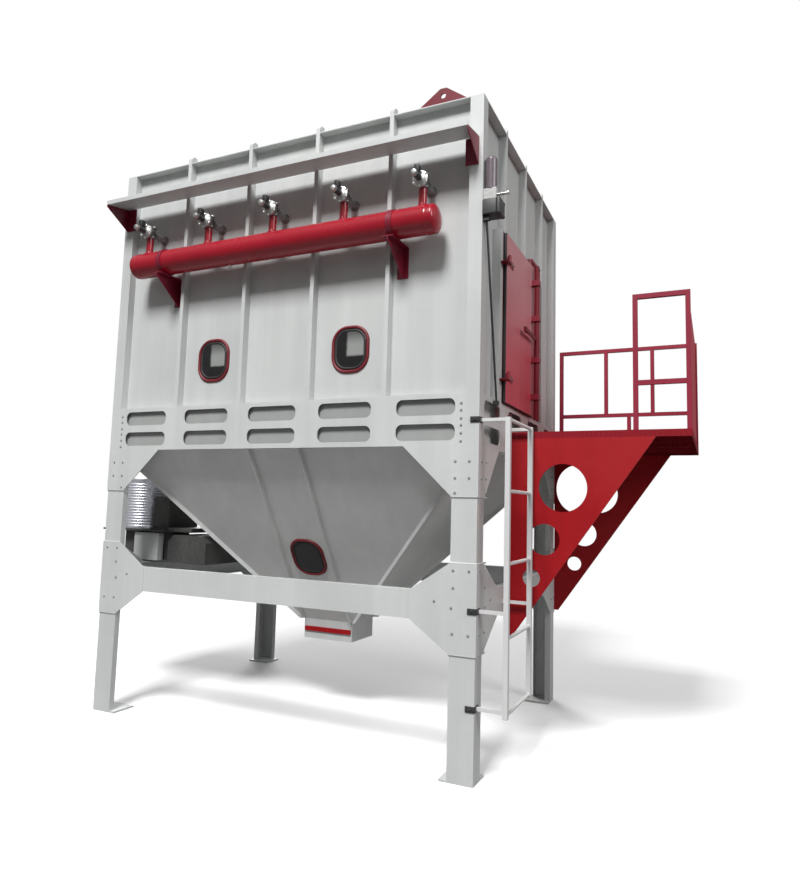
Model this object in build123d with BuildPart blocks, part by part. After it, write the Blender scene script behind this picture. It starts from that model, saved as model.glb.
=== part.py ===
"""Modular pulse-jet dust collector on four legs, with a service platform and ladder.

Millimetres. +X runs along the front towards the platform, +Y goes back, +Z is up.
The origin is on the ground, in the middle of the four legs.
"""
from build123d import *
from math import asin, atan2, cos, degrees, hypot, radians, sin
import os

# Overall frame, measured over the cover plates
width = 3030.0
depth = 2120.0
height = 4200.0
half_w = width / 2
half_d = depth / 2
seat_gap = 0.3
pin_gap = 0.3

# Legs and their base plates
leg_face = 170.0
leg_side = 130.0
leg_wall = 8.0
leg_lip = 45.0
leg_head = 1740.0
foot_thickness = 12.0
foot_reach_x = 50.0
foot_reach_y = 70.0
anchor_radius = 11.0
cover = 6.0

# Ring beam, slotted belt and the knee plates between them
ring_bottom = 910.0
ring_top = 1085.0
beam_depth = 60.0
beam_wall = 6.0
belt_top = 2290.0
belt_height = 325.0
belt_flange = 70.0
upper_knee_reach = 330.0
lower_knee_reach = 260.0
side_knee_reach = 290.0
upper_knee_drop = 310.0
lower_knee_rise = 175.0
lower_knee_drop = 185.0

# Slots in the belt
front_bays = 5
front_pitch = 580.0
side_bays = 4
side_pitch = depth / side_bays
slot_height = 104.0
slot_radius = 42.0
front_slot = 400.0
side_slot = 340.0
slot_row_up = 85.0
slot_row_pitch = 157.0

# Housing above the belt
wall = 5.0
wall_setback = 60.0
post_width = 90.0
post_wall = 5.0
roof_plate = 6.0
rib_width = 30.0
rib_depth = 60.0
side_rib_depth = 60.0
rib_rise = 60.0
rib_chamfer = 28.0

# Sight windows in the front wall and in the hopper
window_width = 290.0
window_height = 328.0
window_radius = 95.0
window_up = 341.0
gasket_width = 26.0
gasket_thickness = 14.0
pane_thickness = 6.0

# Hopper and its outlet
hopper_plate = 5.0
outlet_half_x = 215.0
outlet_half_y = 175.0
outlet_top = 680.0
outlet_bottom = 530.0
outlet_wall = 6.0
strip_width = 45.0
strip_thickness = 6.0
strip_nose = 5.0
strip_tip = 2.0
hopper_rib_x = 210.0
hopper_rib_depth = 40.0
hopper_rib_width = 10.0
hopper_window_z = 1190.0
outlet_strip_height = 34.0
outlet_strip_depth = 12.0
outlet_strip_inset = 8.0
outlet_strip_corner = 6.0
hopper_rib_start = 6.0

# Rain canopy along the front
canopy_down = 320.0
canopy_half = 1487.0
canopy_reach = 220.0
canopy_plate = 5.0
canopy_lip = 28.0
canopy_bracket_drop = 145.0
canopy_bracket_width = 88.0
canopy_nose = 18.0

# Compressed air header and its brackets
header_radius = 93.0
header_length = 2580.0
header_offset = 154.0
header_down = 500.0
dish_depth = 45.0
header_bracket_x = 955.0
header_bracket_width = 80.0
header_bracket_height = 300.0
strap_width = 40.0
strap_thickness = 5.0
saddle_lip = 20.0

# Pulse valves
valve_shift = 6.0
valve_pitch = 572.0
stub_radius = 27.0
stub_height = 119.0
valve_height = 42.0
valve_neck_radius = 31.0
valve_radius = 38.0
valve_front = 45.0
valve_rear = 52.0
cover_radius = 54.0
cover_thickness = 24.0
coil_radius = 20.0
coil_length = 88.0
pilot_radius = 13.0
pilot_rise = 34.0
pilot_back = 36.0
plug_size = (34.0, 40.0, 52.0)
plug_forward = 24.0
pipe_radius = 24.0
pipe_collar_radius = 34.0
pipe_collar_depth = 12.0

# Service door in the right wall
door_front = -590.0
door_rear = 140.0
door_up = 6.0
door_down = 740.0
door_thickness = 24.0
door_skin = 4.0
door_rim = 34.0
frame_bar = 46.0
hinge_post_width = 55.0
hinge_out = 19.0
hinge_pin_radius = 8.0
hinge_barrel_radius = 13.0
hinge_up = 174.0
hinge_down = 190.0
lock_bar_y = 105.0
lock_bar_radius = 17.0
lock_bar_out = 36.0
handle_off_middle = 2.0
guide_inset = 140.0
guide_from_handle = 160.0
guide_height = 40.0
guide_width = 56.0
guide_wall = 8.0
hinge_strap = (150.0, 5.0, 46.0)
hinge_ear = 12.0
hinge_bracket_thickness = 10.0
hinge_washer = 1.0
hinge_pin_rise = 8.0
lever_end = -170.0
lever_section = (10.0, 30.0)
grip_length = 70.0
grip_section = (18.0, 34.0)
lock_bar_inset = 4.0
lock_bar_below = 34.0

# Platform, gussets and railings
floor_down = 180.0
floor_depth = 45.0
floor_plate = 5.0
floor_reach = 1160.0
floor_from_ladder = 40.0
bearer_count = 3
bearer_plate = 8.0
gusset_plate = 10.0
gusset_reach = 950.0
gusset_drop = 1320.0
gusset_nose = 36.0
gusset_holes = ((374.0, 328.0, 157.0), (254.0, 667.0, 102.0), (171.0, 921.0, 58.0))
rail_tube = 30.0
handrail_rise = 875.0
knee_rail_rise = 285.0
near_rail_length = 344.0
far_post_step = 45.0
far_upright_steps = (425.0, 800.0)
far_stub_step = 611.0
panel_plate = 4.0

# Ladder
ladder_out = 170.0
ladder_from_front = 40.0
ladder_width = 530.0
ladder_tube = 30.0
ladder_length = 1740.0
ladder_rise = 25.0
rung_radius = 11.0
rung_up = 20.0
rung_pitch = 427.0
rung_count = 5
top_standoff_rise = 12.0
beam_standoff_drop = 100.0
foot_standoff_rise = 35.0
standoff = 20.0

# Control box and air filter unit on the right wall, and the supply pipe down the wall
box_out = 117.0
box_from_corner = -12.0
box_width = 120.0
box_down = 380.0
box_height = 105.0
box_corner = 8.0
filter_out = 42.0
filter_from_corner = 44.0
filter_block = (82.0, 66.0, 72.0)
filter_port_rise = 36.0
filter_port = (9.0, 62.0)
filter_port_nut = (13.0, 14.0)
filter_bowl_radius = 37.0
filter_bowl_height = 220.0
filter_bowl_round = 30.0
supply_radius = 7.0
supply_out = 20.0
supply_top = 25.0
supply_foot_in = 283.0
supply_foot_down = 15.0
supply_gland_radius = 14.0

# Lifting lugs
lug_x = 1215.0
lug_inset = 60.0
lug_half_base = 215.0
lug_half_top = 22.0
lug_height = 138.0
lug_plate = 12.0
lug_hole_radius = 18.0
lug_hole_height = 85.0

# Exhaust fan unit on the left ring beam
fan_y = -430.0
fan_base_x = (-1960.0, -870.0)
fan_base_width = 410.0
fan_base_plate = 12.0
fan_deck_x = (-1955.0, -1290.0)
fan_deck_width = 490.0
fan_deck_z = 1330.0
fan_deck_plate = 15.0
casing_x = -1430.0
casing_radius = 150.0
scroll_x = (-1270.0, -880.0)
scroll_width = 400.0
scroll_top = 1310.0
scroll_round = 55.0
silencer_x = -1715.0
silencer_radius = 235.0
silencer_height = 420.0
silencer_ribs = 9
silencer_rib_depth = 10.0
terminal_x = (-1620.0, -1360.0)
terminal_y = (-648.0, -585.0)
terminal_top = 1318.0

# Levels and places that follow the belt, the housing's top and its front
belt_bottom = belt_top - belt_height
window_z = belt_top + window_up
canopy_z = height - canopy_down
header_z = canopy_z - header_down
door_bottom = belt_top + door_up
door_top = height - door_down
hinge_levels = (door_bottom + hinge_up, door_top - hinge_down)
handle_z = (door_bottom + door_top) / 2 + handle_off_middle
box_z = (canopy_z - box_down - box_height, canopy_z - box_down)
floor_top = belt_top - floor_down
handrail_z = floor_top + handrail_rise
knee_rail_z = floor_top + knee_rail_rise
floor_under = floor_top - floor_depth
gusset_tip = floor_under - gusset_drop
ladder_top = floor_top + ladder_rise
ladder_bottom = ladder_top - ladder_length
rung_first = ladder_bottom + rung_up
ladder_near = -half_d + ladder_from_front
ladder_far = ladder_near + ladder_width
floor_near = ladder_far + floor_from_ladder
supply_foot_z = belt_top - supply_foot_down

os.makedirs("parts", exist_ok=True)


def front_plane(y):
    """A plane parallel to the front wall: sketch X is X, sketch Y is Z, extrudes forward."""
    return Plane(origin=(0, y, 0), x_dir=(1, 0, 0), z_dir=(0, -1, 0))


def side_plane(x):
    """A plane parallel to the right wall: sketch X is Y, sketch Y is Z, extrudes outward."""
    return Plane(origin=(x, 0, 0), x_dir=(0, 1, 0), z_dir=(1, 0, 0))


def block(x, y, z, mode=Mode.ADD):
    """A straight-sided block between a low and a high limit on each axis."""
    middle = ((x[0] + x[1]) / 2, (y[0] + y[1]) / 2, (z[0] + z[1]) / 2)
    with Locations(middle):
        Box(x[1] - x[0], y[1] - y[0], z[1] - z[0], mode=mode)


def save(piece, name):
    """Label a finished sub-part and write it."""
    piece.part.label = name
    export_step(piece.part, f"parts/{name}.step")


# Base plates: one under each leg, reaching inwards, with an anchor hole
leg_x = (half_w - leg_face, half_w - cover)
leg_y = (half_d - leg_side, half_d - cover)
leg_centre = (sum(leg_x) / 2, sum(leg_y) / 2)
leg_size = (leg_x[1] - leg_x[0], leg_y[1] - leg_y[0])
foot_centre = (leg_centre[0] - foot_reach_x / 2, leg_centre[1] - foot_reach_y / 2)
anchor = (half_w - leg_face - foot_reach_x / 2, half_d - leg_side - foot_reach_y / 2)
with BuildPart() as base_plates:
    with BuildSketch():
        with Locations(foot_centre):
            Rectangle(leg_size[0] + foot_reach_x, leg_size[1] + foot_reach_y)
        with Locations(anchor):
            Circle(anchor_radius, mode=Mode.SUBTRACT)
    extrude(amount=foot_thickness)
    mirror(about=Plane.YZ)
    mirror(about=Plane.XZ)
save(base_plates, "base_plates")

# Legs: folded sections, open inwards, with a lip on each free edge up to where the hopper leans out
with BuildPart() as legs:
    with BuildSketch(Plane.XY.offset(foot_thickness)):
        with Locations(leg_centre):
            Rectangle(*leg_size)
        with Locations((leg_centre[0] - leg_wall, leg_centre[1] - leg_wall)):
            Rectangle(*leg_size, mode=Mode.SUBTRACT)
        with Locations((leg_x[0] + leg_wall / 2, leg_y[1] - leg_lip / 2)):
            Rectangle(leg_wall, leg_lip)
        with Locations((leg_x[1] - leg_lip / 2, leg_y[0] + leg_wall / 2)):
            Rectangle(leg_lip, leg_wall)
    extrude(amount=belt_bottom - foot_thickness)
    with BuildSketch(Plane.XY.offset(leg_head)):
        with Locations((leg_centre[0] - leg_wall, leg_centre[1] - leg_wall)):
            Rectangle(*leg_size)
    extrude(amount=belt_bottom - leg_head, mode=Mode.SUBTRACT)
    mirror(about=Plane.YZ)
    mirror(about=Plane.XZ)
save(legs, "legs")

# Ring beam: four channels between the legs, open towards the inside
span_x = (-(half_w - leg_face), half_w - leg_face)
span_y = (-(half_d - leg_side), half_d - leg_side)
ring_z = (ring_bottom, ring_top)
ring_hollow_z = (ring_bottom + beam_wall, ring_top - beam_wall)
with BuildPart() as ring_beams:
    for side in (-1, 1):
        faces_y = [side * (half_d - cover - inset) for inset in (0, beam_wall, beam_depth)]
        faces_x = [side * (half_w - cover - inset) for inset in (0, beam_wall, beam_depth)]
        block(span_x, sorted((faces_y[0], faces_y[2])), ring_z)
        block(span_x, sorted((faces_y[1], faces_y[2])), ring_hollow_z, Mode.SUBTRACT)
        block(sorted((faces_x[0], faces_x[2])), span_y, ring_z)
        block(sorted((faces_x[1], faces_x[2])), span_y, ring_hollow_z, Mode.SUBTRACT)
save(ring_beams, "ring_beams")

# Knee plates: cover plates that brace each leg to the belt above and to the ring beam
side_edge = half_d - cover - seat_gap
upper_knee_foot = belt_bottom - upper_knee_drop
with BuildPart() as upper_knees:
    with BuildSketch(front_plane(-(half_d - cover))):
        with BuildLine():
            Polyline(
                (half_w, belt_bottom),
                (half_w - leg_face - upper_knee_reach, belt_bottom),
                (half_w - leg_face, upper_knee_foot),
                (half_w, upper_knee_foot),
                close=True,
            )
        make_face()
    extrude(amount=cover)
    with BuildSketch(side_plane(half_w - cover)):
        with BuildLine():
            Polyline(
                (-side_edge, belt_bottom),
                (-(half_d - leg_side - side_knee_reach), belt_bottom),
                (-(half_d - leg_side), upper_knee_foot),
                (-side_edge, upper_knee_foot),
                close=True,
            )
        make_face()
    extrude(amount=cover)
    mirror(about=Plane.YZ)
    mirror(about=Plane.XZ)
save(upper_knees, "upper_knee_plates")

lower_knee_head = ring_top + lower_knee_rise
lower_knee_foot = ring_bottom - lower_knee_drop
with BuildPart() as lower_knees:
    with BuildSketch(front_plane(-(half_d - cover))):
        with BuildLine():
            Polyline(
                (half_w, lower_knee_head),
                (half_w - leg_face, lower_knee_head),
                (half_w - leg_face - lower_knee_reach, ring_top),
                (half_w - leg_face - lower_knee_reach, ring_bottom),
                (half_w - leg_face, lower_knee_foot),
                (half_w, lower_knee_foot),
                close=True,
            )
        make_face()
    extrude(amount=cover)
    with BuildSketch(side_plane(half_w - cover)):
        with BuildLine():
            Polyline(
                (-side_edge, lower_knee_head),
                (-(half_d - leg_side), lower_knee_head),
                (-(half_d - leg_side - side_knee_reach), ring_top),
                (-(half_d - leg_side - side_knee_reach), ring_bottom),
                (-(half_d - leg_side), lower_knee_foot),
                (-side_edge, lower_knee_foot),
                close=True,
            )
        make_face()
    extrude(amount=cover)
    mirror(about=Plane.YZ)
    mirror(about=Plane.XZ)
save(lower_knees, "lower_knee_plates")

# Slotted belt: a deep channel on each side, two rows of slots, one slot a bay
slot_middle = belt_bottom + slot_row_up + slot_row_pitch / 2
web_x = (-half_w, half_w)
web_y = (-(half_d - beam_wall), half_d - beam_wall)
flange_x = (-(half_w - belt_flange), half_w - belt_flange)
with BuildPart() as belt_long:
    for side in (-1, 1):
        face, web, lip = [side * (half_d - inset) for inset in (0, beam_wall, belt_flange)]
        block(web_x, sorted((face, web)), (belt_bottom, belt_top))
        block(flange_x, sorted((web, lip)), (belt_bottom, belt_bottom + beam_wall))
        block(flange_x, sorted((web, lip)), (belt_top - beam_wall, belt_top))
    with BuildSketch(front_plane(half_d)):
        with Locations((0, slot_middle)):
            with GridLocations(front_pitch, slot_row_pitch, front_bays, 2):
                RectangleRounded(front_slot, slot_height, slot_radius)
    extrude(amount=depth, mode=Mode.SUBTRACT)
save(belt_long, "belt_front_back")
with BuildPart() as belt_short:
    for side in (-1, 1):
        face, web, lip = [side * (half_w - inset) for inset in (0, beam_wall, belt_flange)]
        block(sorted((face, web)), web_y, (belt_bottom, belt_top))
        block(sorted((web, lip)), web_y, (belt_bottom, belt_bottom + beam_wall))
        block(sorted((web, lip)), web_y, (belt_top - beam_wall, belt_top))
    with BuildSketch(side_plane(-half_w)):
        with Locations((0, slot_middle)):
            with GridLocations(side_pitch, slot_row_pitch, side_bays, 2):
                RectangleRounded(side_slot, slot_height, slot_radius)
    extrude(amount=width, mode=Mode.SUBTRACT)
save(belt_short, "belt_sides")

# Hopper: a straight collar inside the belt, then four sloping plates down to the outlet
collar_x = half_w - belt_flange
collar_y = half_d - belt_flange
hopper_height = belt_bottom - outlet_top
hopper_slope = (collar_y - outlet_half_y) / hopper_height
hopper_tilt = degrees(atan2(collar_y - outlet_half_y, hopper_height))


def hopper_face_y(z):
    """How far forward the hopper's front face stands at height z."""
    return outlet_half_y + (z - outlet_top) * hopper_slope


hopper_face = Plane(
    origin=(0, -hopper_face_y(hopper_window_z), hopper_window_z),
    x_dir=(1, 0, 0),
    z_dir=(0, -cos(radians(hopper_tilt)), -sin(radians(hopper_tilt))),
)
inner_x = collar_x - hopper_plate
inner_y = collar_y - hopper_plate
hole_width = window_width - 2 * gasket_width
hole_height = window_height - 2 * gasket_width
hole_radius = window_radius - gasket_width
collar_z = (belt_bottom + seat_gap, belt_top)
with BuildPart() as collar:
    for side in (-1, 1):
        block((-collar_x, collar_x), sorted((side * inner_y, side * collar_y)), collar_z)
        block(
            sorted((side * inner_x, side * collar_x)),
            (-(inner_y - seat_gap), inner_y - seat_gap),
            collar_z,
        )
save(collar, "hopper_collar")
edge_run = hypot(collar_x - outlet_half_x, collar_y - outlet_half_y)
edge_angle = degrees(atan2(collar_y - outlet_half_y, collar_x - outlet_half_x))
edge_centre = ((collar_x + outlet_half_x) / 2, (collar_y + outlet_half_y) / 2)
with BuildPart() as hopper:
    with BuildSketch(Plane.XY.offset(belt_bottom)):
        Rectangle(2 * collar_x, 2 * collar_y)
    with BuildSketch(Plane.XY.offset(outlet_top)):
        Rectangle(2 * outlet_half_x, 2 * outlet_half_y)
    loft()
    with BuildSketch(Plane.XY.offset(belt_bottom)):
        Rectangle(2 * inner_x, 2 * inner_y)
    with BuildSketch(Plane.XY.offset(outlet_top)):
        Rectangle(2 * (outlet_half_x - hopper_plate), 2 * (outlet_half_y - hopper_plate))
    loft(mode=Mode.SUBTRACT)
    with BuildSketch(hopper_face):
        RectangleRounded(hole_width, hole_height, hole_radius)
    extrude(amount=4 * hopper_plate, both=True, mode=Mode.SUBTRACT)
    with BuildSketch(Plane.XY.offset(outlet_top)):
        for sign_x in (-1, 1):
            for sign_y in (-1, 1):
                with Locations((sign_x * edge_centre[0], sign_y * edge_centre[1])):
                    Rectangle(
                        edge_run + 8 * hopper_plate,
                        seat_gap,
                        rotation=sign_x * sign_y * edge_angle,
                    )
    extrude(amount=hopper_height, mode=Mode.SUBTRACT)
save(hopper, "hopper_plates")

# Hopper stiffeners: flat bars up the front and back faces, and a strip along each slanting edge
rib_proud = hopper_rib_depth / cos(radians(hopper_tilt))
rib_low_z = outlet_top + hopper_rib_start
edge_plane = Plane(
    origin=(outlet_half_x, outlet_half_y, outlet_top),
    x_dir=(cos(radians(edge_angle)), sin(radians(edge_angle)), 0),
    z_dir=(sin(radians(edge_angle)), -cos(radians(edge_angle)), 0),
)
with BuildPart() as stiffeners:
    with BuildSketch(side_plane(hopper_rib_x)):
        with BuildLine():
            Polyline(
                (-hopper_face_y(belt_bottom), belt_bottom),
                (-hopper_face_y(rib_low_z), rib_low_z),
                (-hopper_face_y(rib_low_z) - rib_proud, rib_low_z),
                (-hopper_face_y(belt_bottom) - rib_proud, belt_bottom),
                close=True,
            )
        make_face()
    extrude(amount=hopper_rib_width / 2, both=True)
    with BuildSketch(edge_plane):
        with BuildLine():
            Polyline(
                (0, 0),
                (strip_width, 0),
                (edge_run - strip_nose, hopper_height - strip_width),
                (edge_run, hopper_height - strip_tip),
                (edge_run, hopper_height),
                close=True,
            )
        make_face()
    extrude(amount=strip_thickness / 2, both=True)
    mirror(about=Plane.YZ)
    mirror(about=Plane.XZ)
save(stiffeners, "hopper_stiffeners")

# Outlet box under the hopper, with its red clamping strip on the front
with BuildPart() as outlet:
    with BuildSketch(Plane.XY.offset(outlet_bottom)):
        Rectangle(2 * outlet_half_x, 2 * outlet_half_y)
        Rectangle(2 * (outlet_half_x - outlet_wall), 2 * (outlet_half_y - outlet_wall), mode=Mode.SUBTRACT)
    extrude(amount=outlet_top - outlet_bottom)
save(outlet, "outlet_box")
outlet_middle = (outlet_top + outlet_bottom) / 2
outlet_strip_width = 2 * (outlet_half_x - outlet_strip_inset)
with BuildPart() as outlet_strip:
    with BuildSketch(front_plane(-outlet_half_y)):
        with Locations((0, outlet_middle)):
            RectangleRounded(outlet_strip_width, outlet_strip_height, outlet_strip_corner)
    extrude(amount=outlet_strip_depth)
save(outlet_strip, "outlet_strip")

# Housing walls: sheets set back inside the corner posts
sheet_y = half_d - wall_setback
sheet_x = half_w - wall_setback
wall_top = height - roof_plate
windows_x = (-front_pitch, front_pitch)
with BuildPart() as front_wall:
    block((-(sheet_x - wall), sheet_x - wall), (-sheet_y, -sheet_y + wall), (belt_top, wall_top))
    with BuildSketch(front_plane(-sheet_y)):
        with Locations(*[(x, window_z) for x in windows_x]):
            RectangleRounded(hole_width, hole_height, hole_radius)
    extrude(amount=-wall, mode=Mode.SUBTRACT)
save(front_wall, "front_wall")
with BuildPart() as back_wall:
    block((-(sheet_x - wall), sheet_x - wall), (sheet_y - wall, sheet_y), (belt_top, wall_top))
save(back_wall, "back_wall")
with BuildPart() as left_wall:
    block((-sheet_x, -sheet_x + wall), (-sheet_y, sheet_y), (belt_top, wall_top))
save(left_wall, "left_wall")
right_sheet = (sheet_x - wall, sheet_x)
opening_y = (door_front + door_rim, door_rear - door_rim)
opening_z = (door_bottom + door_rim, door_top - door_rim)
with BuildPart() as right_wall_front:
    block(right_sheet, (-sheet_y, opening_y[0]), (belt_top, wall_top))
save(right_wall_front, "right_wall_front")
with BuildPart() as right_wall_back:
    block(right_sheet, (opening_y[1], sheet_y), (belt_top, wall_top))
save(right_wall_back, "right_wall_back")
with BuildPart() as right_wall_door_bay:
    block(right_sheet, opening_y, (opening_z[1], wall_top))
    block(right_sheet, opening_y, (belt_top, opening_z[0]))
save(right_wall_door_bay, "right_wall_door_bay")
with BuildPart() as roof:
    block((-sheet_x, sheet_x), (-sheet_y, sheet_y), (wall_top, height))
save(roof, "roof")

# Corner posts: folded hollow angles that stand proud of the sheets, closed at the top


def post_outline(inset):
    """The front right post's outline on plan, drawn in from its outer faces by an inset."""
    near, far = half_w - post_width + inset, half_d - post_width + inset
    return (
        (half_w - inset, -(half_d - inset)),
        (near, -(half_d - inset)),
        (near, -(sheet_y + inset)),
        (sheet_x + inset, -(sheet_y + inset)),
        (sheet_x + inset, -far),
        (half_w - inset, -far),
    )


with BuildPart() as posts:
    with BuildSketch(Plane.XY.offset(belt_top)):
        with BuildLine():
            Polyline(*post_outline(0), close=True)
        make_face()
    extrude(amount=height - belt_top)
    with BuildSketch(Plane.XY.offset(belt_top)):
        with BuildLine():
            Polyline(*post_outline(post_wall), close=True)
        make_face()
    extrude(amount=height - belt_top - post_wall, mode=Mode.SUBTRACT)
    mirror(about=Plane.YZ)
    mirror(about=Plane.XZ)
save(posts, "corner_posts")

# Wall ribs: the flat-topped stiffeners run past the roof and are cut off at their outer corner
rib_top = height + rib_rise
front_ribs_x = [(i - (front_bays - 2) / 2) * front_pitch for i in range(front_bays - 1)]
side_ribs_y = [(i - (side_bays - 2) / 2) * side_pitch for i in range(side_bays - 1)]
with BuildPart() as long_side_ribs:
    for x in front_ribs_x:
        with BuildSketch(side_plane(x - rib_width / 2)):
            with BuildLine():
                Polyline(
                    (-sheet_y, belt_top),
                    (-(sheet_y + rib_depth), belt_top),
                    (-(sheet_y + rib_depth), rib_top - rib_chamfer),
                    (-(sheet_y + rib_depth - rib_chamfer), rib_top),
                    (-sheet_y, rib_top),
                    close=True,
                )
            make_face()
        extrude(amount=rib_width)
    mirror(about=Plane.XZ)
save(long_side_ribs, "ribs_front_back")
frame_outer_y = (opening_y[0] - frame_bar, opening_y[1] + frame_bar)
frame_outer_z = (belt_top, opening_z[1] + frame_bar)
hinge_post_y = (frame_outer_y[0] - seat_gap - hinge_post_width, frame_outer_y[0] - seat_gap)
with BuildPart() as short_side_ribs:
    for y in side_ribs_y:
        over_door = frame_outer_y[0] < y + rib_width / 2 and y - rib_width / 2 < frame_outer_y[1]
        for side, foot in ((-1, belt_top), (1, frame_outer_z[1] if over_door else belt_top)):
            with BuildSketch(front_plane(y + rib_width / 2)):
                with BuildLine():
                    Polyline(
                        (side * sheet_x, foot),
                        (side * (sheet_x + side_rib_depth), foot),
                        (side * (sheet_x + side_rib_depth), rib_top - rib_chamfer),
                        (side * (sheet_x + side_rib_depth - rib_chamfer), rib_top),
                        (side * sheet_x, rib_top),
                        close=True,
                    )
                make_face()
            extrude(amount=rib_width)
    block((sheet_x, half_w), hinge_post_y, frame_outer_z)
save(short_side_ribs, "ribs_sides")

# Top flange: flat bars round the roof, let in between the ribs and the corner posts
with BuildPart() as top_flange:
    with BuildSketch(Plane.XY.offset(wall_top)):
        with Locations((0, -(sheet_y + rib_depth / 2)), (0, sheet_y + rib_depth / 2)):
            Rectangle(2 * (half_w - post_width), rib_depth)
        with Locations((-(sheet_x + side_rib_depth / 2), 0), (sheet_x + side_rib_depth / 2, 0)):
            Rectangle(side_rib_depth, 2 * (half_d - post_width))
        with Locations(*[(x, 0) for x in front_ribs_x]):
            Rectangle(rib_width, 2 * (sheet_y + rib_depth), mode=Mode.SUBTRACT)
        with Locations(*[(0, y) for y in side_ribs_y]):
            Rectangle(2 * (sheet_x + side_rib_depth), rib_width, mode=Mode.SUBTRACT)
    extrude(amount=roof_plate)
save(top_flange, "top_flange")

# Sight windows: a ring gasket over each hole, and the pane in the hole
with BuildPart() as gaskets:
    with BuildSketch(front_plane(-sheet_y)):
        with Locations(*[(x, window_z) for x in windows_x]):
            RectangleRounded(window_width, window_height, window_radius)
            RectangleRounded(hole_width, hole_height, hole_radius, mode=Mode.SUBTRACT)
    extrude(amount=gasket_thickness)
    with BuildSketch(hopper_face):
        RectangleRounded(window_width, window_height, window_radius)
        RectangleRounded(hole_width, hole_height, hole_radius, mode=Mode.SUBTRACT)
    extrude(amount=gasket_thickness)
save(gaskets, "window_gaskets")
with BuildPart() as panes:
    with BuildSketch(front_plane(-sheet_y)):
        with Locations(*[(x, window_z) for x in windows_x]):
            RectangleRounded(hole_width, hole_height, hole_radius)
    extrude(amount=pane_thickness)
    with BuildSketch(hopper_face):
        RectangleRounded(hole_width, hole_height, hole_radius)
    extrude(amount=pane_thickness)
save(panes, "window_panes")

# Rain canopy: a folded tray on the ribs' outer edges, held by a gusset bracket at each end
canopy_back = -(sheet_y + rib_depth)
canopy_front = canopy_back - canopy_reach
with BuildPart() as canopy:
    block((-canopy_half, canopy_half), (canopy_front, canopy_back), (canopy_z, canopy_z + canopy_plate))
    block((-canopy_half, canopy_half), (canopy_front, canopy_front + canopy_plate),
          (canopy_z + canopy_plate, canopy_z + canopy_lip))
save(canopy, "rain_canopy")
with BuildPart() as canopy_brackets:
    with BuildSketch(side_plane(canopy_half)):
        with BuildLine():
            Polyline(
                (-half_d, canopy_z),
                (canopy_front, canopy_z),
                (canopy_front, canopy_z - canopy_nose),
                (-half_d, canopy_z - canopy_bracket_drop),
                close=True,
            )
        make_face()
    extrude(amount=-canopy_plate)
    block((canopy_half - canopy_bracket_width, canopy_half), (-half_d - canopy_plate, -half_d),
          (canopy_z - canopy_bracket_drop, canopy_z))
    mirror(about=Plane.YZ)
save(canopy_brackets, "canopy_brackets")

# Compressed air header: a tube with dished ends and one welded stub for each valve
header_y = -(sheet_y + header_offset)
header_top = header_z + header_radius
stub_top = header_top + stub_height
dish_radius = (header_radius**2 + dish_depth**2) / (2 * dish_depth)
dish_half_angle = asin(header_radius / dish_radius) / 2
header_end = header_length / 2
shoulder = header_end - dish_depth
crown = header_end - dish_radius * (1 - cos(dish_half_angle))
belly = dish_radius * sin(dish_half_angle)
valves_x = [(i - (front_bays - 1) / 2) * valve_pitch + valve_shift for i in range(front_bays)]
with BuildPart() as header:
    with BuildSketch(Plane(origin=(0, header_y, header_z), x_dir=(1, 0, 0), z_dir=(0, -1, 0))):
        with BuildLine():
            Line((-header_end, 0), (header_end, 0))
            ThreePointArc((header_end, 0), (crown, belly), (shoulder, header_radius))
            Line((shoulder, header_radius), (-shoulder, header_radius))
            ThreePointArc((-shoulder, header_radius), (-crown, belly), (-header_end, 0))
        make_face()
    revolve(axis=Axis((0, header_y, header_z), (1, 0, 0)))
    with BuildSketch(Plane.XY.offset(header_z)):
        with Locations(*[(x, header_y) for x in valves_x]):
            Circle(stub_radius)
    extrude(amount=stub_top - header_z)
save(header, "air_header")

# Header straps and the saddle brackets under them
strap_outer = header_radius + seat_gap + strap_thickness
saddle_top = header_z - strap_outer - seat_gap
bracket_foot = saddle_top - header_bracket_height + header_radius
bracket_back = -(sheet_y + cover)
bracket_front = header_y - header_radius
bracket_x = (header_bracket_x - header_bracket_width / 2, header_bracket_x + header_bracket_width / 2)
with BuildPart() as header_brackets:
    with BuildSketch(side_plane(header_bracket_x)):
        with Locations((header_y, header_z)):
            Circle(strap_outer)
            Circle(header_radius + seat_gap, mode=Mode.SUBTRACT)
    extrude(amount=strap_width / 2, both=True)
    block(bracket_x, (bracket_back, -sheet_y), (bracket_foot, saddle_top))
    block(bracket_x, (bracket_front, bracket_back), (saddle_top - cover, saddle_top))
    with BuildSketch(side_plane(header_bracket_x)):
        with BuildLine():
            Polyline(
                (bracket_back, saddle_top - cover),
                (bracket_front, saddle_top - cover),
                (bracket_front, saddle_top - cover - saddle_lip),
                (bracket_back, bracket_foot),
                close=True,
            )
        make_face()
    extrude(amount=cover / 2, both=True)
    mirror(about=Plane.YZ)
save(header_brackets, "header_brackets")

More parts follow.
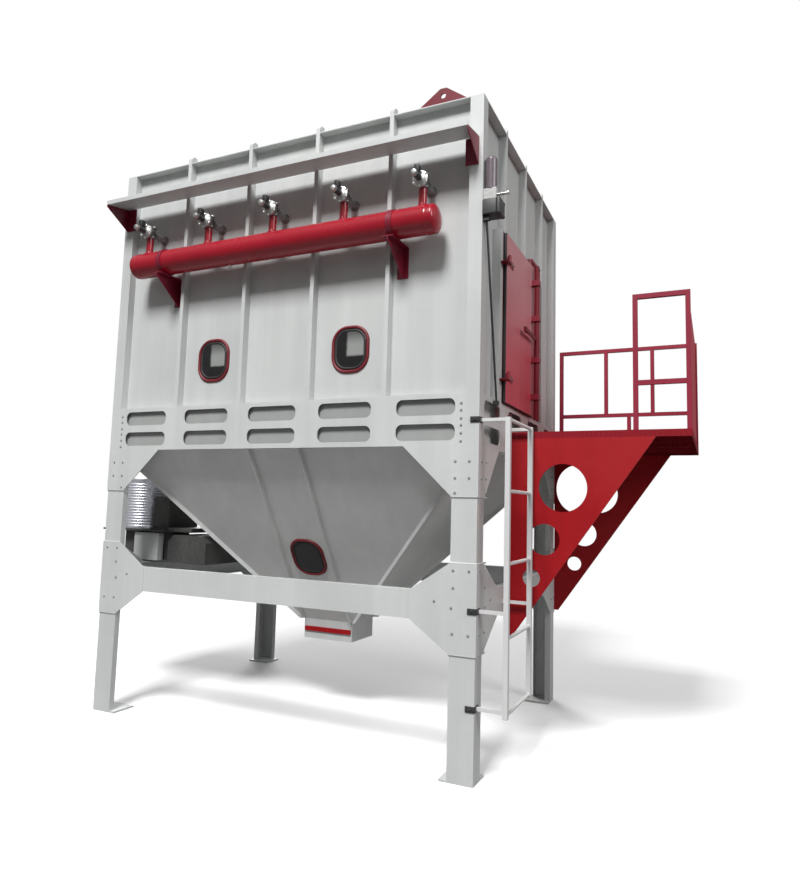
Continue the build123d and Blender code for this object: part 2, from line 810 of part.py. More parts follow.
# Pulse valves: bodies lying across the stubs, with a cover, a coil and a pilot, and the blow pipes behind
valve_z = stub_top + valve_height
cover_front = header_y - valve_front - cover_thickness
with BuildPart() as valves:
    with BuildSketch(Plane.XY.offset(stub_top + seat_gap)):
        with Locations(*[(x, header_y) for x in valves_x]):
            Circle(valve_neck_radius)
    extrude(amount=valve_height)
    with BuildSketch(Plane.XY.offset(valve_z)):
        with Locations(*[(x, header_y + pilot_back) for x in valves_x]):
            Circle(pilot_radius)
    extrude(amount=valve_radius + pilot_rise)
    for start, radius, length in (
        (header_y + valve_rear, valve_radius, valve_rear + valve_front),
        (header_y - valve_front, cover_radius, cover_thickness),
        (cover_front, coil_radius, coil_length),
    ):
        with BuildSketch(front_plane(start)):
            with Locations(*[(x, valve_z) for x in valves_x]):
                Circle(radius)
        extrude(amount=length)
save(valves, "pulse_valves")
with BuildPart() as plugs:
    with Locations(*[(x, cover_front - plug_forward, valve_z + coil_radius + seat_gap) for x in valves_x]):
        Box(*plug_size, align=(Align.CENTER, Align.CENTER, Align.MIN))
save(plugs, "valve_plugs")
with BuildPart() as blow_pipes:
    with BuildSketch(front_plane(-sheet_y)):
        with Locations(*[(x, valve_z) for x in valves_x]):
            Circle(pipe_collar_radius)
    extrude(amount=pipe_collar_depth)
    with BuildSketch(front_plane(-sheet_y)):
        with Locations(*[(x, valve_z) for x in valves_x]):
            Circle(pipe_radius)
    extrude(amount=-header_y - sheet_y - valve_rear - seat_gap)
save(blow_pipes, "blow_pipes")

# Service door: frame on the wall, folded leaf with its guides and hinge barrels
leaf_x = (half_w + seat_gap, half_w + seat_gap + door_thickness)
hinge_x = leaf_x[1] + hinge_out
hinge_y = door_front
with BuildPart() as door_frame:
    block((sheet_x, half_w), frame_outer_y, frame_outer_z)
    block((sheet_x, half_w), opening_y, opening_z, Mode.SUBTRACT)
save(door_frame, "door_frame")

lock_x = leaf_x[1] + lock_bar_out
guide_x = (leaf_x[1], lock_x + lock_bar_radius + guide_wall)
guide_y = (lock_bar_y - guide_width / 2, lock_bar_y + guide_width / 2)
guide_levels = (
    door_bottom + guide_inset,
    handle_z - guide_from_handle,
    handle_z + guide_from_handle,
    door_top - guide_inset,
)
strap_length, strap_plate, strap_height = hinge_strap
recess_x = (leaf_x[0], leaf_x[1] - door_skin)
with BuildPart() as door:
    block(leaf_x, (door_front, door_rear), (door_bottom, door_top))
    block(recess_x, opening_y, opening_z, Mode.SUBTRACT)
    for z in guide_levels:
        block(guide_x, guide_y, (z - guide_height / 2, z + guide_height / 2))
    with Locations(*[(lock_x, lock_bar_y, z) for z in guide_levels]):
        Cylinder(lock_bar_radius + pin_gap, 2 * guide_height, mode=Mode.SUBTRACT)
    for z in hinge_levels:
        strap_z = (z - strap_height / 2, z + strap_height / 2)
        block((leaf_x[1], leaf_x[1] + strap_plate), (door_front, door_front + strap_length), strap_z)
        block((leaf_x[1], hinge_x), (door_front, door_front + hinge_ear), strap_z)
    with Locations(*[(hinge_x, hinge_y, z) for z in hinge_levels]):
        Cylinder(hinge_barrel_radius, strap_height)
        Cylinder(hinge_pin_radius + pin_gap, strap_height, mode=Mode.SUBTRACT)
save(door, "door_leaf")

# Hinge brackets: a shelf off the hinge post below each barrel, with the pin standing on it
with BuildPart() as hinges:
    for z in hinge_levels:
        shelf_top = z - strap_height / 2 - hinge_washer
        with BuildSketch(Plane.XY.offset(shelf_top - hinge_bracket_thickness)):
            with BuildLine():
                Polyline(
                    (half_w, hinge_post_y[0]),
                    (half_w, hinge_y - hinge_barrel_radius),
                    (hinge_x, hinge_y),
                    (hinge_x + hinge_barrel_radius, hinge_y),
                    (hinge_x + hinge_barrel_radius, hinge_post_y[0]),
                    close=True,
                )
            make_face()
            with Locations((hinge_x, hinge_y)):
                Circle(hinge_barrel_radius)
        extrude(amount=hinge_bracket_thickness)
        with BuildSketch(Plane.XY.offset(shelf_top)):
            with Locations((hinge_x, hinge_y)):
                Circle(hinge_pin_radius)
        extrude(amount=hinge_washer + strap_height + hinge_pin_rise)
save(hinges, "door_hinges")

# Lock bar: an upright rod in the guides with a flat lever and a thicker grip
lock_bar_z = (door_bottom - lock_bar_below, door_top - lock_bar_inset)
with BuildPart() as lock_bar:
    with Locations((lock_x, lock_bar_y, sum(lock_bar_z) / 2)):
        Cylinder(lock_bar_radius, lock_bar_z[1] - lock_bar_z[0])
    block(
        (lock_x - lever_section[0] / 2, lock_x + lever_section[0] / 2),
        (lever_end, lock_bar_y),
        (handle_z - lever_section[1] / 2, handle_z + lever_section[1] / 2),
    )
    block(
        (lock_x - grip_section[0] / 2, lock_x + grip_section[0] / 2),
        (lever_end - grip_length, lever_end),
        (handle_z - grip_section[1] / 2, handle_z + grip_section[1] / 2),
    )
save(lock_bar, "lock_bar")

# Platform floor: a plate with a folded edge and cross bearers
floor_x = (half_w, half_w + floor_reach)
floor_y = (floor_near, half_d)
tray_x = (floor_x[0] + floor_plate, floor_x[1] - floor_plate)
tray_y = (floor_y[0] + floor_plate, floor_y[1] - floor_plate)
tray_z = (floor_under, floor_top - floor_plate)
with BuildPart() as floor:
    block(floor_x, floor_y, (floor_under, floor_top))
    block(tray_x, tray_y, tray_z, Mode.SUBTRACT)
    for i in range(1, bearer_count + 1):
        y = floor_y[0] + i * (floor_y[1] - floor_y[0]) / (bearer_count + 1)
        block(tray_x, (y - bearer_plate / 2, y + bearer_plate / 2), tray_z)
save(floor, "platform_floor")

# Gussets: plates with three round holes that shrink towards the tip
beam_face = half_w - cover
gusset_far = half_d - cover - gusset_plate
with BuildPart() as gussets:
    for low in (floor_near, gusset_far):
        with BuildSketch(front_plane(low + gusset_plate)):
            with BuildLine():
                Polyline(
                    (half_w, floor_under),
                    (half_w + gusset_reach, floor_under),
                    (half_w + gusset_nose, gusset_tip),
                    (half_w, gusset_tip),
                    close=True,
                )
            make_face()
            for reach, drop, radius in gusset_holes:
                with Locations((half_w + reach, floor_under - drop)):
                    Circle(radius, mode=Mode.SUBTRACT)
        extrude(amount=gusset_plate)
    block((beam_face, half_w), (floor_near, floor_near + gusset_plate), ring_z)
save(gussets, "platform_gussets")

# Railings: square tube frames along the near and far edges, a sheet panel along the outer end
rail_end = half_w + floor_reach
post_x = rail_end - rail_tube
rail_levels = (knee_rail_z, handrail_z - rail_tube)
near_posts = (rail_end - near_rail_length, post_x)
far_posts = (half_w + far_post_step, post_x)
far_y = (half_d - rail_tube, half_d)
with BuildPart() as railings:
    for posts_x, y in ((near_posts, (floor_near, floor_near + rail_tube)), (far_posts, far_y)):
        for x in posts_x:
            block((x, x + rail_tube), y, (floor_top, handrail_z))
        for z in rail_levels:
            block((posts_x[0], rail_end), y, (z, z + rail_tube))
    for step in far_upright_steps:
        block((half_w + step, half_w + step + rail_tube), far_y, rail_levels)
    block((half_w + far_stub_step, half_w + far_stub_step + rail_tube), far_y, (floor_top, knee_rail_z))
save(railings, "railings")
panel_x = (rail_end - (rail_tube + panel_plate) / 2, rail_end - (rail_tube - panel_plate) / 2)
with BuildPart() as end_panel:
    block(panel_x, (floor_near + rail_tube, half_d - rail_tube), (floor_top, handrail_z))
save(end_panel, "railing_end_panel")

# Ladder with round rungs, and the stand-offs that hold it to the frame
ladder_x = (half_w + ladder_out - ladder_tube / 2, half_w + ladder_out + ladder_tube / 2)
with BuildPart() as ladder:
    for y in (ladder_near, ladder_far):
        block(ladder_x, (y - ladder_tube / 2, y + ladder_tube / 2), (ladder_bottom, ladder_top))
    for i in range(rung_count):
        with BuildSketch(front_plane(ladder_far)):
            with Locations((half_w + ladder_out, rung_first + i * rung_pitch)):
                Circle(rung_radius)
        extrude(amount=ladder_far - ladder_near)
save(ladder, "ladder")
with BuildPart() as standoffs:
    for z, near_face, far_face in (
        (floor_top + top_standoff_rise, half_w, half_w),
        (ring_top - beam_standoff_drop, half_w, beam_face),
        (ladder_bottom + foot_standoff_rise, beam_face, None),
    ):
        z_span = (z - standoff / 2, z + standoff / 2)
        block((near_face, ladder_x[0]), (ladder_near - standoff / 2, ladder_near + standoff / 2), z_span)
        if far_face is not None:
            block((far_face, ladder_x[0]), (ladder_far - standoff / 2, ladder_far + standoff / 2), z_span)
save(standoffs, "ladder_brackets")

# Control box and air filter unit near the front corner of the right wall
box_y = (-half_d + box_from_corner, -half_d + box_from_corner + box_width)
with BuildPart() as control_box:
    block((half_w, half_w + box_out), box_y, box_z)
    fillet(control_box.edges().filter_by(Axis.X), box_corner)
save(control_box, "control_box")
filter_x = half_w + filter_out
filter_y = -half_d + filter_from_corner
port_radius, port_length = filter_port
nut_radius, nut_length = filter_port_nut
with BuildPart() as filter_head:
    with Locations((filter_x, filter_y, box_z[1] + filter_block[2] / 2)):
        Box(*filter_block)
    with BuildSketch(side_plane(filter_x + filter_block[0] / 2)):
        with Locations((filter_y, box_z[1] + filter_port_rise)):
            Circle(port_radius)
    extrude(amount=port_length)
    with BuildSketch(side_plane(filter_x + filter_block[0] / 2 + port_length)):
        with Locations((filter_y, box_z[1] + filter_port_rise)):
            Circle(nut_radius)
    extrude(amount=nut_length)
save(filter_head, "filter_head")
bowl_bottom = box_z[1] + filter_block[2] + seat_gap
with BuildPart() as air_filter:
    with Locations((filter_x, filter_y, bowl_bottom + filter_bowl_height / 2)):
        Cylinder(filter_bowl_radius, filter_bowl_height)
    fillet(air_filter.edges().group_by(Axis.Z)[-1], filter_bowl_round)
save(air_filter, "air_filter")

# Supply pipe: slants from under the control box to a gland block on the belt
supply_head_y = -half_d + supply_top
supply_foot_y = -half_d + supply_foot_in
supply_head_z = box_z[0] - supply_gland_radius
supply_run = (supply_foot_y - supply_head_y, supply_foot_z - supply_gland_radius - supply_head_z)
supply_axis = Plane(
    origin=(half_w + supply_out, supply_head_y, supply_head_z),
    x_dir=(1, 0, 0),
    z_dir=(0, *supply_run),
)
with BuildPart() as supply_pipe:
    with BuildSketch(supply_axis):
        Circle(supply_radius)
    extrude(amount=hypot(*supply_run))
    block(
        (half_w, half_w + supply_out + supply_gland_radius),
        (supply_foot_y - supply_gland_radius, supply_foot_y + supply_gland_radius),
        (supply_foot_z - 2 * supply_gland_radius, supply_foot_z),
    )
    block(
        (half_w, half_w + 2 * supply_out),
        (supply_head_y - supply_gland_radius, supply_head_y + supply_gland_radius),
        (box_z[0] - 2 * supply_gland_radius, box_z[0]),
    )
save(supply_pipe, "supply_pipe")

# Lifting lugs: pointed plates on the roof with a shackle hole
with BuildPart() as lugs:
    for x, y in ((lug_x, -half_d + lug_inset), (-lug_x, half_d - lug_inset)):
        with BuildSketch(front_plane(y)):
            with BuildLine():
                Polyline(
                    (x - lug_half_base, height),
                    (x - lug_half_top, height + lug_height),
                    (x + lug_half_top, height + lug_height),
                    (x + lug_half_base, height),
                    close=True,
                )
            make_face()
            with Locations((x, height + lug_hole_height)):
                Circle(lug_hole_radius, mode=Mode.SUBTRACT)
        extrude(amount=lug_plate / 2, both=True)
save(lugs, "lifting_lugs")

# Exhaust fan unit: base plate, casing, deck plate, ribbed silencer and terminal box
fan_base_top = ring_top + fan_base_plate
fan_deck_top = fan_deck_z + fan_deck_plate
with BuildPart() as fan_plates:
    block(fan_base_x, (fan_y - fan_base_width / 2, fan_y + fan_base_width / 2), (ring_top, fan_base_top))
    block(fan_deck_x, (fan_y - fan_deck_width / 2, fan_y + fan_deck_width / 2), (fan_deck_z, fan_deck_top))
save(fan_plates, "fan_plates")
with BuildPart() as fan_casing:
    with Locations((casing_x, fan_y, (fan_base_top + fan_deck_z) / 2)):
        Cylinder(casing_radius, fan_deck_z - fan_base_top)
    with BuildSketch(front_plane(fan_y + scroll_width / 2)):
        with BuildLine():
            Polyline(
                (scroll_x[0], fan_base_top),
                (scroll_x[0], scroll_top - scroll_round),
                (scroll_x[0] + scroll_round, scroll_top),
                (scroll_x[1] - scroll_round, scroll_top),
                (scroll_x[1], scroll_top - scroll_round),
                (scroll_x[1], fan_base_top),
                close=True,
            )
        make_face()
    extrude(amount=scroll_width)
save(fan_casing, "fan_casing")
with BuildPart() as terminal_box:
    block(terminal_x, terminal_y, (fan_base_top, terminal_top))
save(terminal_box, "fan_terminal_box")
rib_step = silencer_height / silencer_ribs
groove = silencer_radius - silencer_rib_depth
outline = [(0, 0)]
for i in range(silencer_ribs):
    outline += [(groove, i * rib_step), (silencer_radius, (i + 0.3) * rib_step)]
    outline += [(silencer_radius, (i + 0.7) * rib_step)]
outline += [(groove, silencer_height), (0, silencer_height)]
silencer_plane = Plane(origin=(silencer_x, fan_y, fan_deck_top), x_dir=(1, 0, 0), z_dir=(0, -1, 0))
with BuildPart() as silencer:
    with BuildSketch(silencer_plane):
        with BuildLine():
            Polyline(*outline, close=True)
        make_face()
    revolve(axis=Axis((silencer_x, fan_y, 0), (0, 0, 1)))
save(silencer, "fan_silencer")
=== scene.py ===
# %% [markdown]
# # A pulse-jet dust collector
# The machine is a steel box of filter bags on four legs. Its walls, frame, hopper and platform come
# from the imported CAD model. This lesson gives them their paint and adds what the CAD model leaves
# plain: the air header with its valves, the falling canopy, window rubbers, bolts, welds, clamps,
# the door's seal and the ribbed silencer.

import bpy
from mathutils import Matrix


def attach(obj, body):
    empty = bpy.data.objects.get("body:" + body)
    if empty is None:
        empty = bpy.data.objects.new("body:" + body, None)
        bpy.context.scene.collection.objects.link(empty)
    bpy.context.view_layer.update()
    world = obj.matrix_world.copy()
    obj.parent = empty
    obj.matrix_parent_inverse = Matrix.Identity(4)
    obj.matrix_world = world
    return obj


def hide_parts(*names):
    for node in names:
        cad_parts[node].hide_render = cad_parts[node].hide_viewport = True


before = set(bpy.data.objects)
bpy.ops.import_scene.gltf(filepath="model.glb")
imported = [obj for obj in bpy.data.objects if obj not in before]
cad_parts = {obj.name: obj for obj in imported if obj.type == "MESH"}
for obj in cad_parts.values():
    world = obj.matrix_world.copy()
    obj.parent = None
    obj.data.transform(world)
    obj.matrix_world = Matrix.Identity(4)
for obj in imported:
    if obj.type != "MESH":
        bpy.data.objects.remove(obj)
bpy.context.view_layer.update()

# %% [markdown]
# ## The camera
# The photograph was taken by a standing person, from in front of the right front leg, looking a
# little upwards. The camera's place, its heading, its pitch and its slight roll were solved from the
# machine's straight edges, so they are written here as plain numbers.

# %% Camera at the photograph's viewing angle
import bmesh
import bpy
import math
import numpy as np
from mathutils import Matrix, Vector

image_width, image_height = 800, 875
focal_pixels = 681.4
camera_place = np.array([2.801, -4.9389, 1.5839])
heading, pitch, roll = (math.radians(angle) for angle in (24.983, 5.828, 1.5636))

level = np.array([math.cos(heading), math.sin(heading), 0.0])
ahead = np.array([-math.sin(heading), math.cos(heading), 0.0])
forward = math.cos(pitch) * ahead + np.array([0.0, 0.0, math.sin(pitch)])
upright = np.cross(level, forward)
right = math.cos(roll) * level + math.sin(roll) * upright
up = math.cos(roll) * upright - math.sin(roll) * level

camera_data = bpy.data.cameras.new("camera")
camera_data.sensor_width = 36.0
camera_data.lens = focal_pixels / max(image_width, image_height) * camera_data.sensor_width
camera = bpy.data.objects.new("camera", camera_data)
turn = Matrix([[*row] for row in np.column_stack([right, up, -forward])]).to_4x4()
camera.matrix_world = Matrix.Translation(Vector(camera_place)) @ turn
bpy.context.scene.collection.objects.link(camera)
bpy.context.scene.camera = camera
print("Lens:", round(camera_data.lens, 2), "mm")

# %% [markdown]
# ## From numbers to a mesh
# Every new piece below is a surface: a grid of points worked out with numpy, or a profile carried
# along a path. A piece such as a row of bolts is many small surfaces, so a shape is kept as a pair
# of arrays, points and four-sided faces, and shapes are stacked into one mesh at the end.

# %% Shapes as arrays
def grid(points, close_rows=False, close_columns=False):
    """Faces over an (n, m, 3) grid: each one joins (i, j), (i, j+1), (i+1, j+1) and (i+1, j)."""
    n, m = points.shape[:2]
    index = np.arange(n * m).reshape(n, m)
    if close_rows:
        index = np.vstack([index, index[:1]])
    if close_columns:
        index = np.hstack([index, index[:, :1]])
    faces = np.stack([index[:-1, :-1], index[:-1, 1:], index[1:, 1:], index[1:, :-1]], axis=-1)
    return points.reshape(-1, 3), faces.reshape(-1, 4)


def stack(shapes):
    """Joins shapes into one: each shape's face numbers grow by the points that came before it."""
    starts = np.cumsum([0] + [len(points) for points, _ in shapes[:-1]])
    points = np.vstack([points for points, _ in shapes])
    faces = np.vstack([faces + start for (_, faces), start in zip(shapes, starts)])
    return points, faces


def copies(shape, places):
    """The shape moved to each of the (k, 3) places."""
    points, faces = shape
    places = np.asarray(places, float)
    placed = (points[None] + places[:, None]).reshape(-1, 3)
    steps = np.arange(len(places))[:, None, None] * len(points)
    return placed, (faces[None] + steps).reshape(-1, 4)


def aimed(shape, along, across=None):
    """The shape with its Z axis turned to `along` and its X axis to `across`."""
    z = np.asarray(along, float) / np.linalg.norm(along)
    if across is None:
        across = (1, 0, 0) if abs(z[0]) < 0.9 else (0, 1, 0)
    x = np.asarray(across, float) - np.dot(across, z) * z
    x /= np.linalg.norm(x)
    return shape[0] @ np.stack([x, np.cross(z, x), z]), shape[1]


def moved(shape, place):
    """The shape shifted by a place."""
    return shape[0] + np.asarray(place, float), shape[1]


# %% Turned and swept shapes
def turned(profile, sides=32):
    """Lathe: each (radius, height) of the profile goes round Z, x = r cos t, y = r sin t, z = h."""
    profile = np.asarray(profile, float)
    t = np.arange(sides) * 2 * np.pi / sides
    ring = np.stack([np.cos(t), np.sin(t)], axis=-1)
    points = np.empty((sides, len(profile), 3))
    points[..., :2] = ring[:, None] * profile[None, :, :1]
    points[..., 2] = profile[None, :, 1]
    return grid(points, close_rows=True)


def swept(path, outline, closed=False, side=(0, 0, 1)):
    """Carries an (m, 2) outline along an (n, 3) path. With T the path's direction, U = T x side and
    V = U x T, point (i, j) is path[i] + outline[j, 0] U[i] + outline[j, 1] V[i]."""
    path, outline = np.asarray(path, float), np.asarray(outline, float)
    if closed:
        tangent = np.roll(path, -1, axis=0) - np.roll(path, 1, axis=0)
    else:
        tangent = np.gradient(path, axis=0)
    tangent /= np.linalg.norm(tangent, axis=1, keepdims=True)
    u = np.cross(tangent, side)
    u /= np.linalg.norm(u, axis=1, keepdims=True)
    v = np.cross(u, tangent)
    points = path[:, None] + outline[None, :, :1] * u[:, None] + outline[None, :, 1:] * v[:, None]
    shape = grid(points, close_rows=closed, close_columns=True)
    if closed:
        return shape
    n, m = points.shape[:2]
    ends = [grid(np.stack([row, np.broadcast_to(row.mean(axis=0), row.shape)]), close_columns=True)
            for row in (points[0, ::-1], points[-1])]
    return stack([shape, *[(p, f[:, ::-1]) for p, f in ends]])


# %% From shapes to objects
def merged(mesh, distance=1e-6, outwards=True):
    """Merges a mesh's doubled points. Its normals are worked out anew unless `outwards` is False."""
    work = bmesh.new()
    work.from_mesh(mesh)
    bmesh.ops.remove_doubles(work, verts=work.verts, dist=distance)
    if outwards:
        bmesh.ops.recalc_face_normals(work, faces=work.faces)
    work.to_mesh(mesh)
    work.free()


def mesh_of(name, shapes):
    """One mesh from shapes, stacked and merged, with faces that point outwards."""
    points, faces = stack(list(shapes))
    mesh = bpy.data.meshes.new(name)
    mesh.from_pydata(points.tolist(), [], faces.tolist())
    merged(mesh)
    return mesh


def piece(name, shapes, material, body="collector", replaces=(), smooth=True, angle=35):
    """One object at the origin from shapes, with its material, that rides on a body."""
    mesh = mesh_of(name, shapes)
    mesh.materials.append(material)
    if smooth:
        mesh.shade_smooth()
        mesh.set_sharp_from_angle(angle=math.radians(angle))
    made = bpy.data.objects.new(name, mesh)
    bpy.context.scene.collection.objects.link(made)
    if replaces:
        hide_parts(*replaces)
    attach(made, body)
    print(name, len(mesh.vertices), "points", len(mesh.polygons), "faces")
    return made


# %% [markdown]
# ## Shader sums as Python
# A material's pattern is arithmetic on its sockets. This small class wraps one socket, and each
# operator adds the Math node that does the sum, so `1 - dust * 0.4` reads as it would on paper.

# %% A socket that does arithmetic
class Wire:
    """One output socket of a node tree. Sums with numbers or other wires add Math nodes."""

    def __init__(self, tree, socket):
        self.tree, self.socket = tree, socket

    def node(self, kind, sockets=None, out=0, **settings):
        """Adds a node of a kind, gives it its settings, then its sockets' values or links."""
        made = self.tree.nodes.new(kind)
        for name, value in settings.items():
            setattr(made, name, value)
        for key, value in (sockets or {}).items():
            if isinstance(value, Wire):
                self.tree.links.new(value.socket, made.inputs[key])
            else:
                made.inputs[key].default_value = value
        return Wire(self.tree, made.outputs[out])

    def _sum(self, operation, first, second):
        return self.node("ShaderNodeMath", {0: first, 1: second}, operation=operation)

    def __add__(self, other):
        return self._sum("ADD", self, other)

    def __radd__(self, other):
        return self._sum("ADD", other, self)

    def __sub__(self, other):
        return self._sum("SUBTRACT", self, other)

    def __rsub__(self, other):
        return self._sum("SUBTRACT", other, self)

    def __mul__(self, other):
        return self._sum("MULTIPLY", self, other)

    def __rmul__(self, other):
        return self._sum("MULTIPLY", other, self)

    def clamp(self, low, high):
        """0 below low, 1 above high, and a smooth step between them."""
        limits = {0: self, 1: low, 2: high}
        return self.node("ShaderNodeMapRange", limits, interpolation_type="SMOOTHSTEP")

    def blend(self, first, second):
        """Colour first where this wire is 0 and colour second where it is 1."""
        return self.node("ShaderNodeMix", {0: self, 6: first, 7: second}, out=2, data_type="RGBA")

    def noise(self, scale, detail=3.0, stretch=(1, 1, 1), rough=0.5):
        """Noise over this wire's coordinates, stretched by an amount along each axis."""
        where = self.node("ShaderNodeMapping", {0: self, 3: stretch})
        return where.node("ShaderNodeTexNoise", {0: where, 2: scale, 3: detail, 4: rough})

    def axis(self, name):
        """One coordinate, X, Y or Z, of this wire."""
        return self.node("ShaderNodeSeparateXYZ", {0: self}, out="XYZ".index(name))

    def bump(self, distance, strength=1.0):
        """A normal that tilts with this height, given in units of `distance` metres."""
        return self.node("ShaderNodeBump", {"Height": self, "Distance": distance, "Strength": strength})


# %% A material from a pattern
def surface(name, colour, roughness, metallic=0.0, pattern=None, **constants):
    """A Principled material. `pattern` takes the Object coordinates and returns wires by socket."""
    material = bpy.data.materials.new(name)
    material.use_nodes = True
    tree = material.node_tree
    shader = tree.nodes["Principled BSDF"]
    values = {"Base Color": (*colour, 1), "Roughness": roughness, "Metallic": metallic, **constants}
    for key, value in values.items():
        shader.inputs[key].default_value = value
    if pattern:
        place = Wire(tree, tree.nodes.new("ShaderNodeTexCoord").outputs["Object"])
        for key, wire in pattern(place).items():
            tree.links.new(wire.socket, shader.inputs[key])
    return material


def shade(colour, factor):
    """A colour, darker or lighter by a factor, with its alpha."""
    return (*[min(1.0, channel * factor) for channel in colour], 1)


# %% [markdown]
# ## Paint
# The machine is sprayed with a satin light grey, and the parts a person handles are red. Sprayed
# paint is never quite even: it has broad patches where the coat is thicker, faint rain streaks that
# run down the sheets, dust and a fine orange-peel texture. Four noises of very different sizes give
# these, and the streaks' one is stretched tall. The door's paint turns pale pink towards its top, and
# the platform's deck is chequer plate.

# %% A recipe for paint
dust_colour = (0.33, 0.31, 0.28, 1)
pale_pink_red = (0.55, 0.34, 0.36, 1)
fittings_red = (0.24, 0.012, 0.030, 1)
leaf_face = (1.540, 1.542)
chequer_height = 0.002


def paint(name, colour, roughness=0.42, patches=0.06, streaks=0.05, peel=0.00012, dust=0.0, fade=None,
          chequer=False, **constants):
    """Satin paint: colour x (1 + patches + streaks), dust in soft clouds, orange peel in the bump.
    `fade` turns the door's leaf pale pink from one height to another by an amount, and what stands off
    the leaf stays red. `chequer` puts lozenges under the orange peel."""
    def pattern(place):
        broad = place.noise(1.7, 4.0)
        tall = place.noise(9.0, 3.0, (1.0, 1.0, 0.06))
        grit = place.noise(55.0, 4.0)
        tone = broad.clamp(0.3, 0.7) * 0.6 + tall.clamp(0.35, 0.75) * 0.4
        coat = tone.blend(shade(colour, 1 - patches - streaks), shade(colour, 1 + patches))
        if dust:
            settled = (broad + grit * 0.5).clamp(0.62, 1.0) * dust
            if fade:
                low, high, amount = fade
                settled = settled + (place.axis("Z") + broad * 0.5).clamp(low, high) * amount
            coat = settled.blend(coat, pale_pink_red if fade else dust_colour)
        if fade:
            coat = place.axis("X").clamp(*leaf_face).blend(coat, fittings_red)
        gloss = grit * 0.10 + broad * 0.12 + (roughness - 0.11)
        height = place.noise(420.0, 2.0)
        if chequer:
            relief = (lozenges(place) + height * 0.06).bump(chequer_height)
        else:
            relief = height.bump(peel)
        return {"Base Color": coat, "Roughness": gloss, "Normal": relief}
    return surface(name, colour, roughness, pattern=pattern, **constants)


def lozenges(place, k=105.0):
    """Chequer plate: sin(k(x + y)) sin(k(x - y)), cut off so that only the tops of its hills stand."""
    across, deep = place.axis("X"), place.axis("Y")
    waves = [(across + deep * sign) * k for sign in (1.0, -1.0)]
    first, second = [wave.node("ShaderNodeMath", {0: wave}, operation="SINE") for wave in waves]
    return (first * second).clamp(0.30, 0.72)


# %% The machine's paints
body_paint = paint("body_paint", (0.555, 0.570, 0.563), 0.46, dust=0.10)
# The hopper's grey is lighter than the body's: painted light for its plates, which face downwards and
# get little light.
hopper_lightened_paint = paint("hopper_lightened_paint", (0.69, 0.70, 0.69), 0.48, dust=0.10)
frame_paint = paint("frame_paint", (0.565, 0.582, 0.574), 0.44, dust=0.08)
signal_red = paint("signal_red", (0.33, 0.004, 0.008), 0.50, dust=0.02, **{"Specular IOR Level": 0.25})
deck_red = paint("deck_red", (0.24, 0.010, 0.018), 0.60, chequer=True, **{"Specular IOR Level": 0.12})
railing_red = paint("railing_red", (0.26, 0.018, 0.042), 0.45, **{"Specular IOR Level": 0.3})
panel_red = paint("panel_red", (0.48, 0.016, 0.034), 0.45, **{"Specular IOR Level": 0.3})
jamb_red = paint("jamb_red", (0.26, 0.020, 0.038), 0.42, patches=0.10, dust=0.08)
header_red = paint("header_red", (0.32, 0.006, 0.018), 0.25, streaks=0.03)
door_red = paint("door_red", (0.62, 0.050, 0.085), 0.40, patches=0.12, streaks=0.12, dust=0.10,
                 fade=(2.6, 3.6, 0.60))
# The maroon is partly the own dark red of the door frame, hinges and lock bar and partly a painted shade
# of the door's edges.
maroon_and_painted_shade = paint("maroon_and_painted_shade", (0.15, 0.005, 0.014), 0.45, **{"Specular IOR Level": 0.3})
bracket_red = paint("bracket_red", (0.20, 0.006, 0.025), 0.40)
ladder_grey = paint("ladder_grey", (0.66, 0.66, 0.66), 0.45, dust=0.12)
black_paint = paint("black_paint", (0.022, 0.022, 0.024), 0.45, dust=0.10)
dark_grey = paint("dark_grey", (0.055, 0.057, 0.055), 0.48, dust=0.15)
casting_grey = paint("casting_grey", (0.22, 0.22, 0.22), 0.5, dust=0.2)
# The slot sheets' darker grey is a painted shade of the recess behind the belt's slots.
slot_recess_shade_paint = paint("slot_recess_shade_paint", (0.34, 0.35, 0.345), 0.55, dust=0.15)
bolt_paint = paint("bolt_paint", (0.27, 0.28, 0.275), 0.50)
box_grey = paint("box_grey", (0.045, 0.046, 0.046), 0.50, dust=0.06)

# %% [markdown]
# ## Bare metal, rubber, plastic and glass
# The valves are cast aluminium and the silencer is bright sheet steel. Rolled sheet shows fine
# streaks, so the silencer's noise is squeezed in height. Rubber is nearly black with a dry surface.
# The sight panes are painted nearly black, a painted shade of the unlit housing behind them, with a
# pale patch painted in the upper right part of the wall's two.

# %% Metal, rubber, plastic and glass
def metal(name, colour, roughness, stretch=(1, 1, 1), grain=120.0, stain=0.25):
    """Bare metal: dull stains over a bright base, fine grain in the roughness and the bump."""
    def pattern(place):
        cloud = place.noise(14.0, 5.0)
        lines = place.noise(grain, 3.0, stretch)
        tone = cloud.clamp(0.35, 0.75).blend(shade(colour, 1.1), shade(colour, 1 - stain))
        return {"Base Color": tone, "Roughness": lines * 0.22 + cloud * 0.15 + (roughness - 0.18),
                "Normal": lines.bump(0.0002)}
    return surface(name, colour, roughness, 1.0, pattern)


def moulded(name, colour, roughness, grain=300.0, depth=0.00015):
    """Moulded rubber or plastic: one colour with faint clouds and a fine spark-eroded texture."""
    def pattern(place):
        cloud = place.noise(18.0, 3.0)
        return {"Base Color": cloud.blend(shade(colour, 0.8), shade(colour, 1.25)),
                "Roughness": cloud * 0.2 + (roughness - 0.1),
                "Normal": place.noise(grain, 2.0).bump(depth)}
    return surface(name, colour, roughness, pattern=pattern)


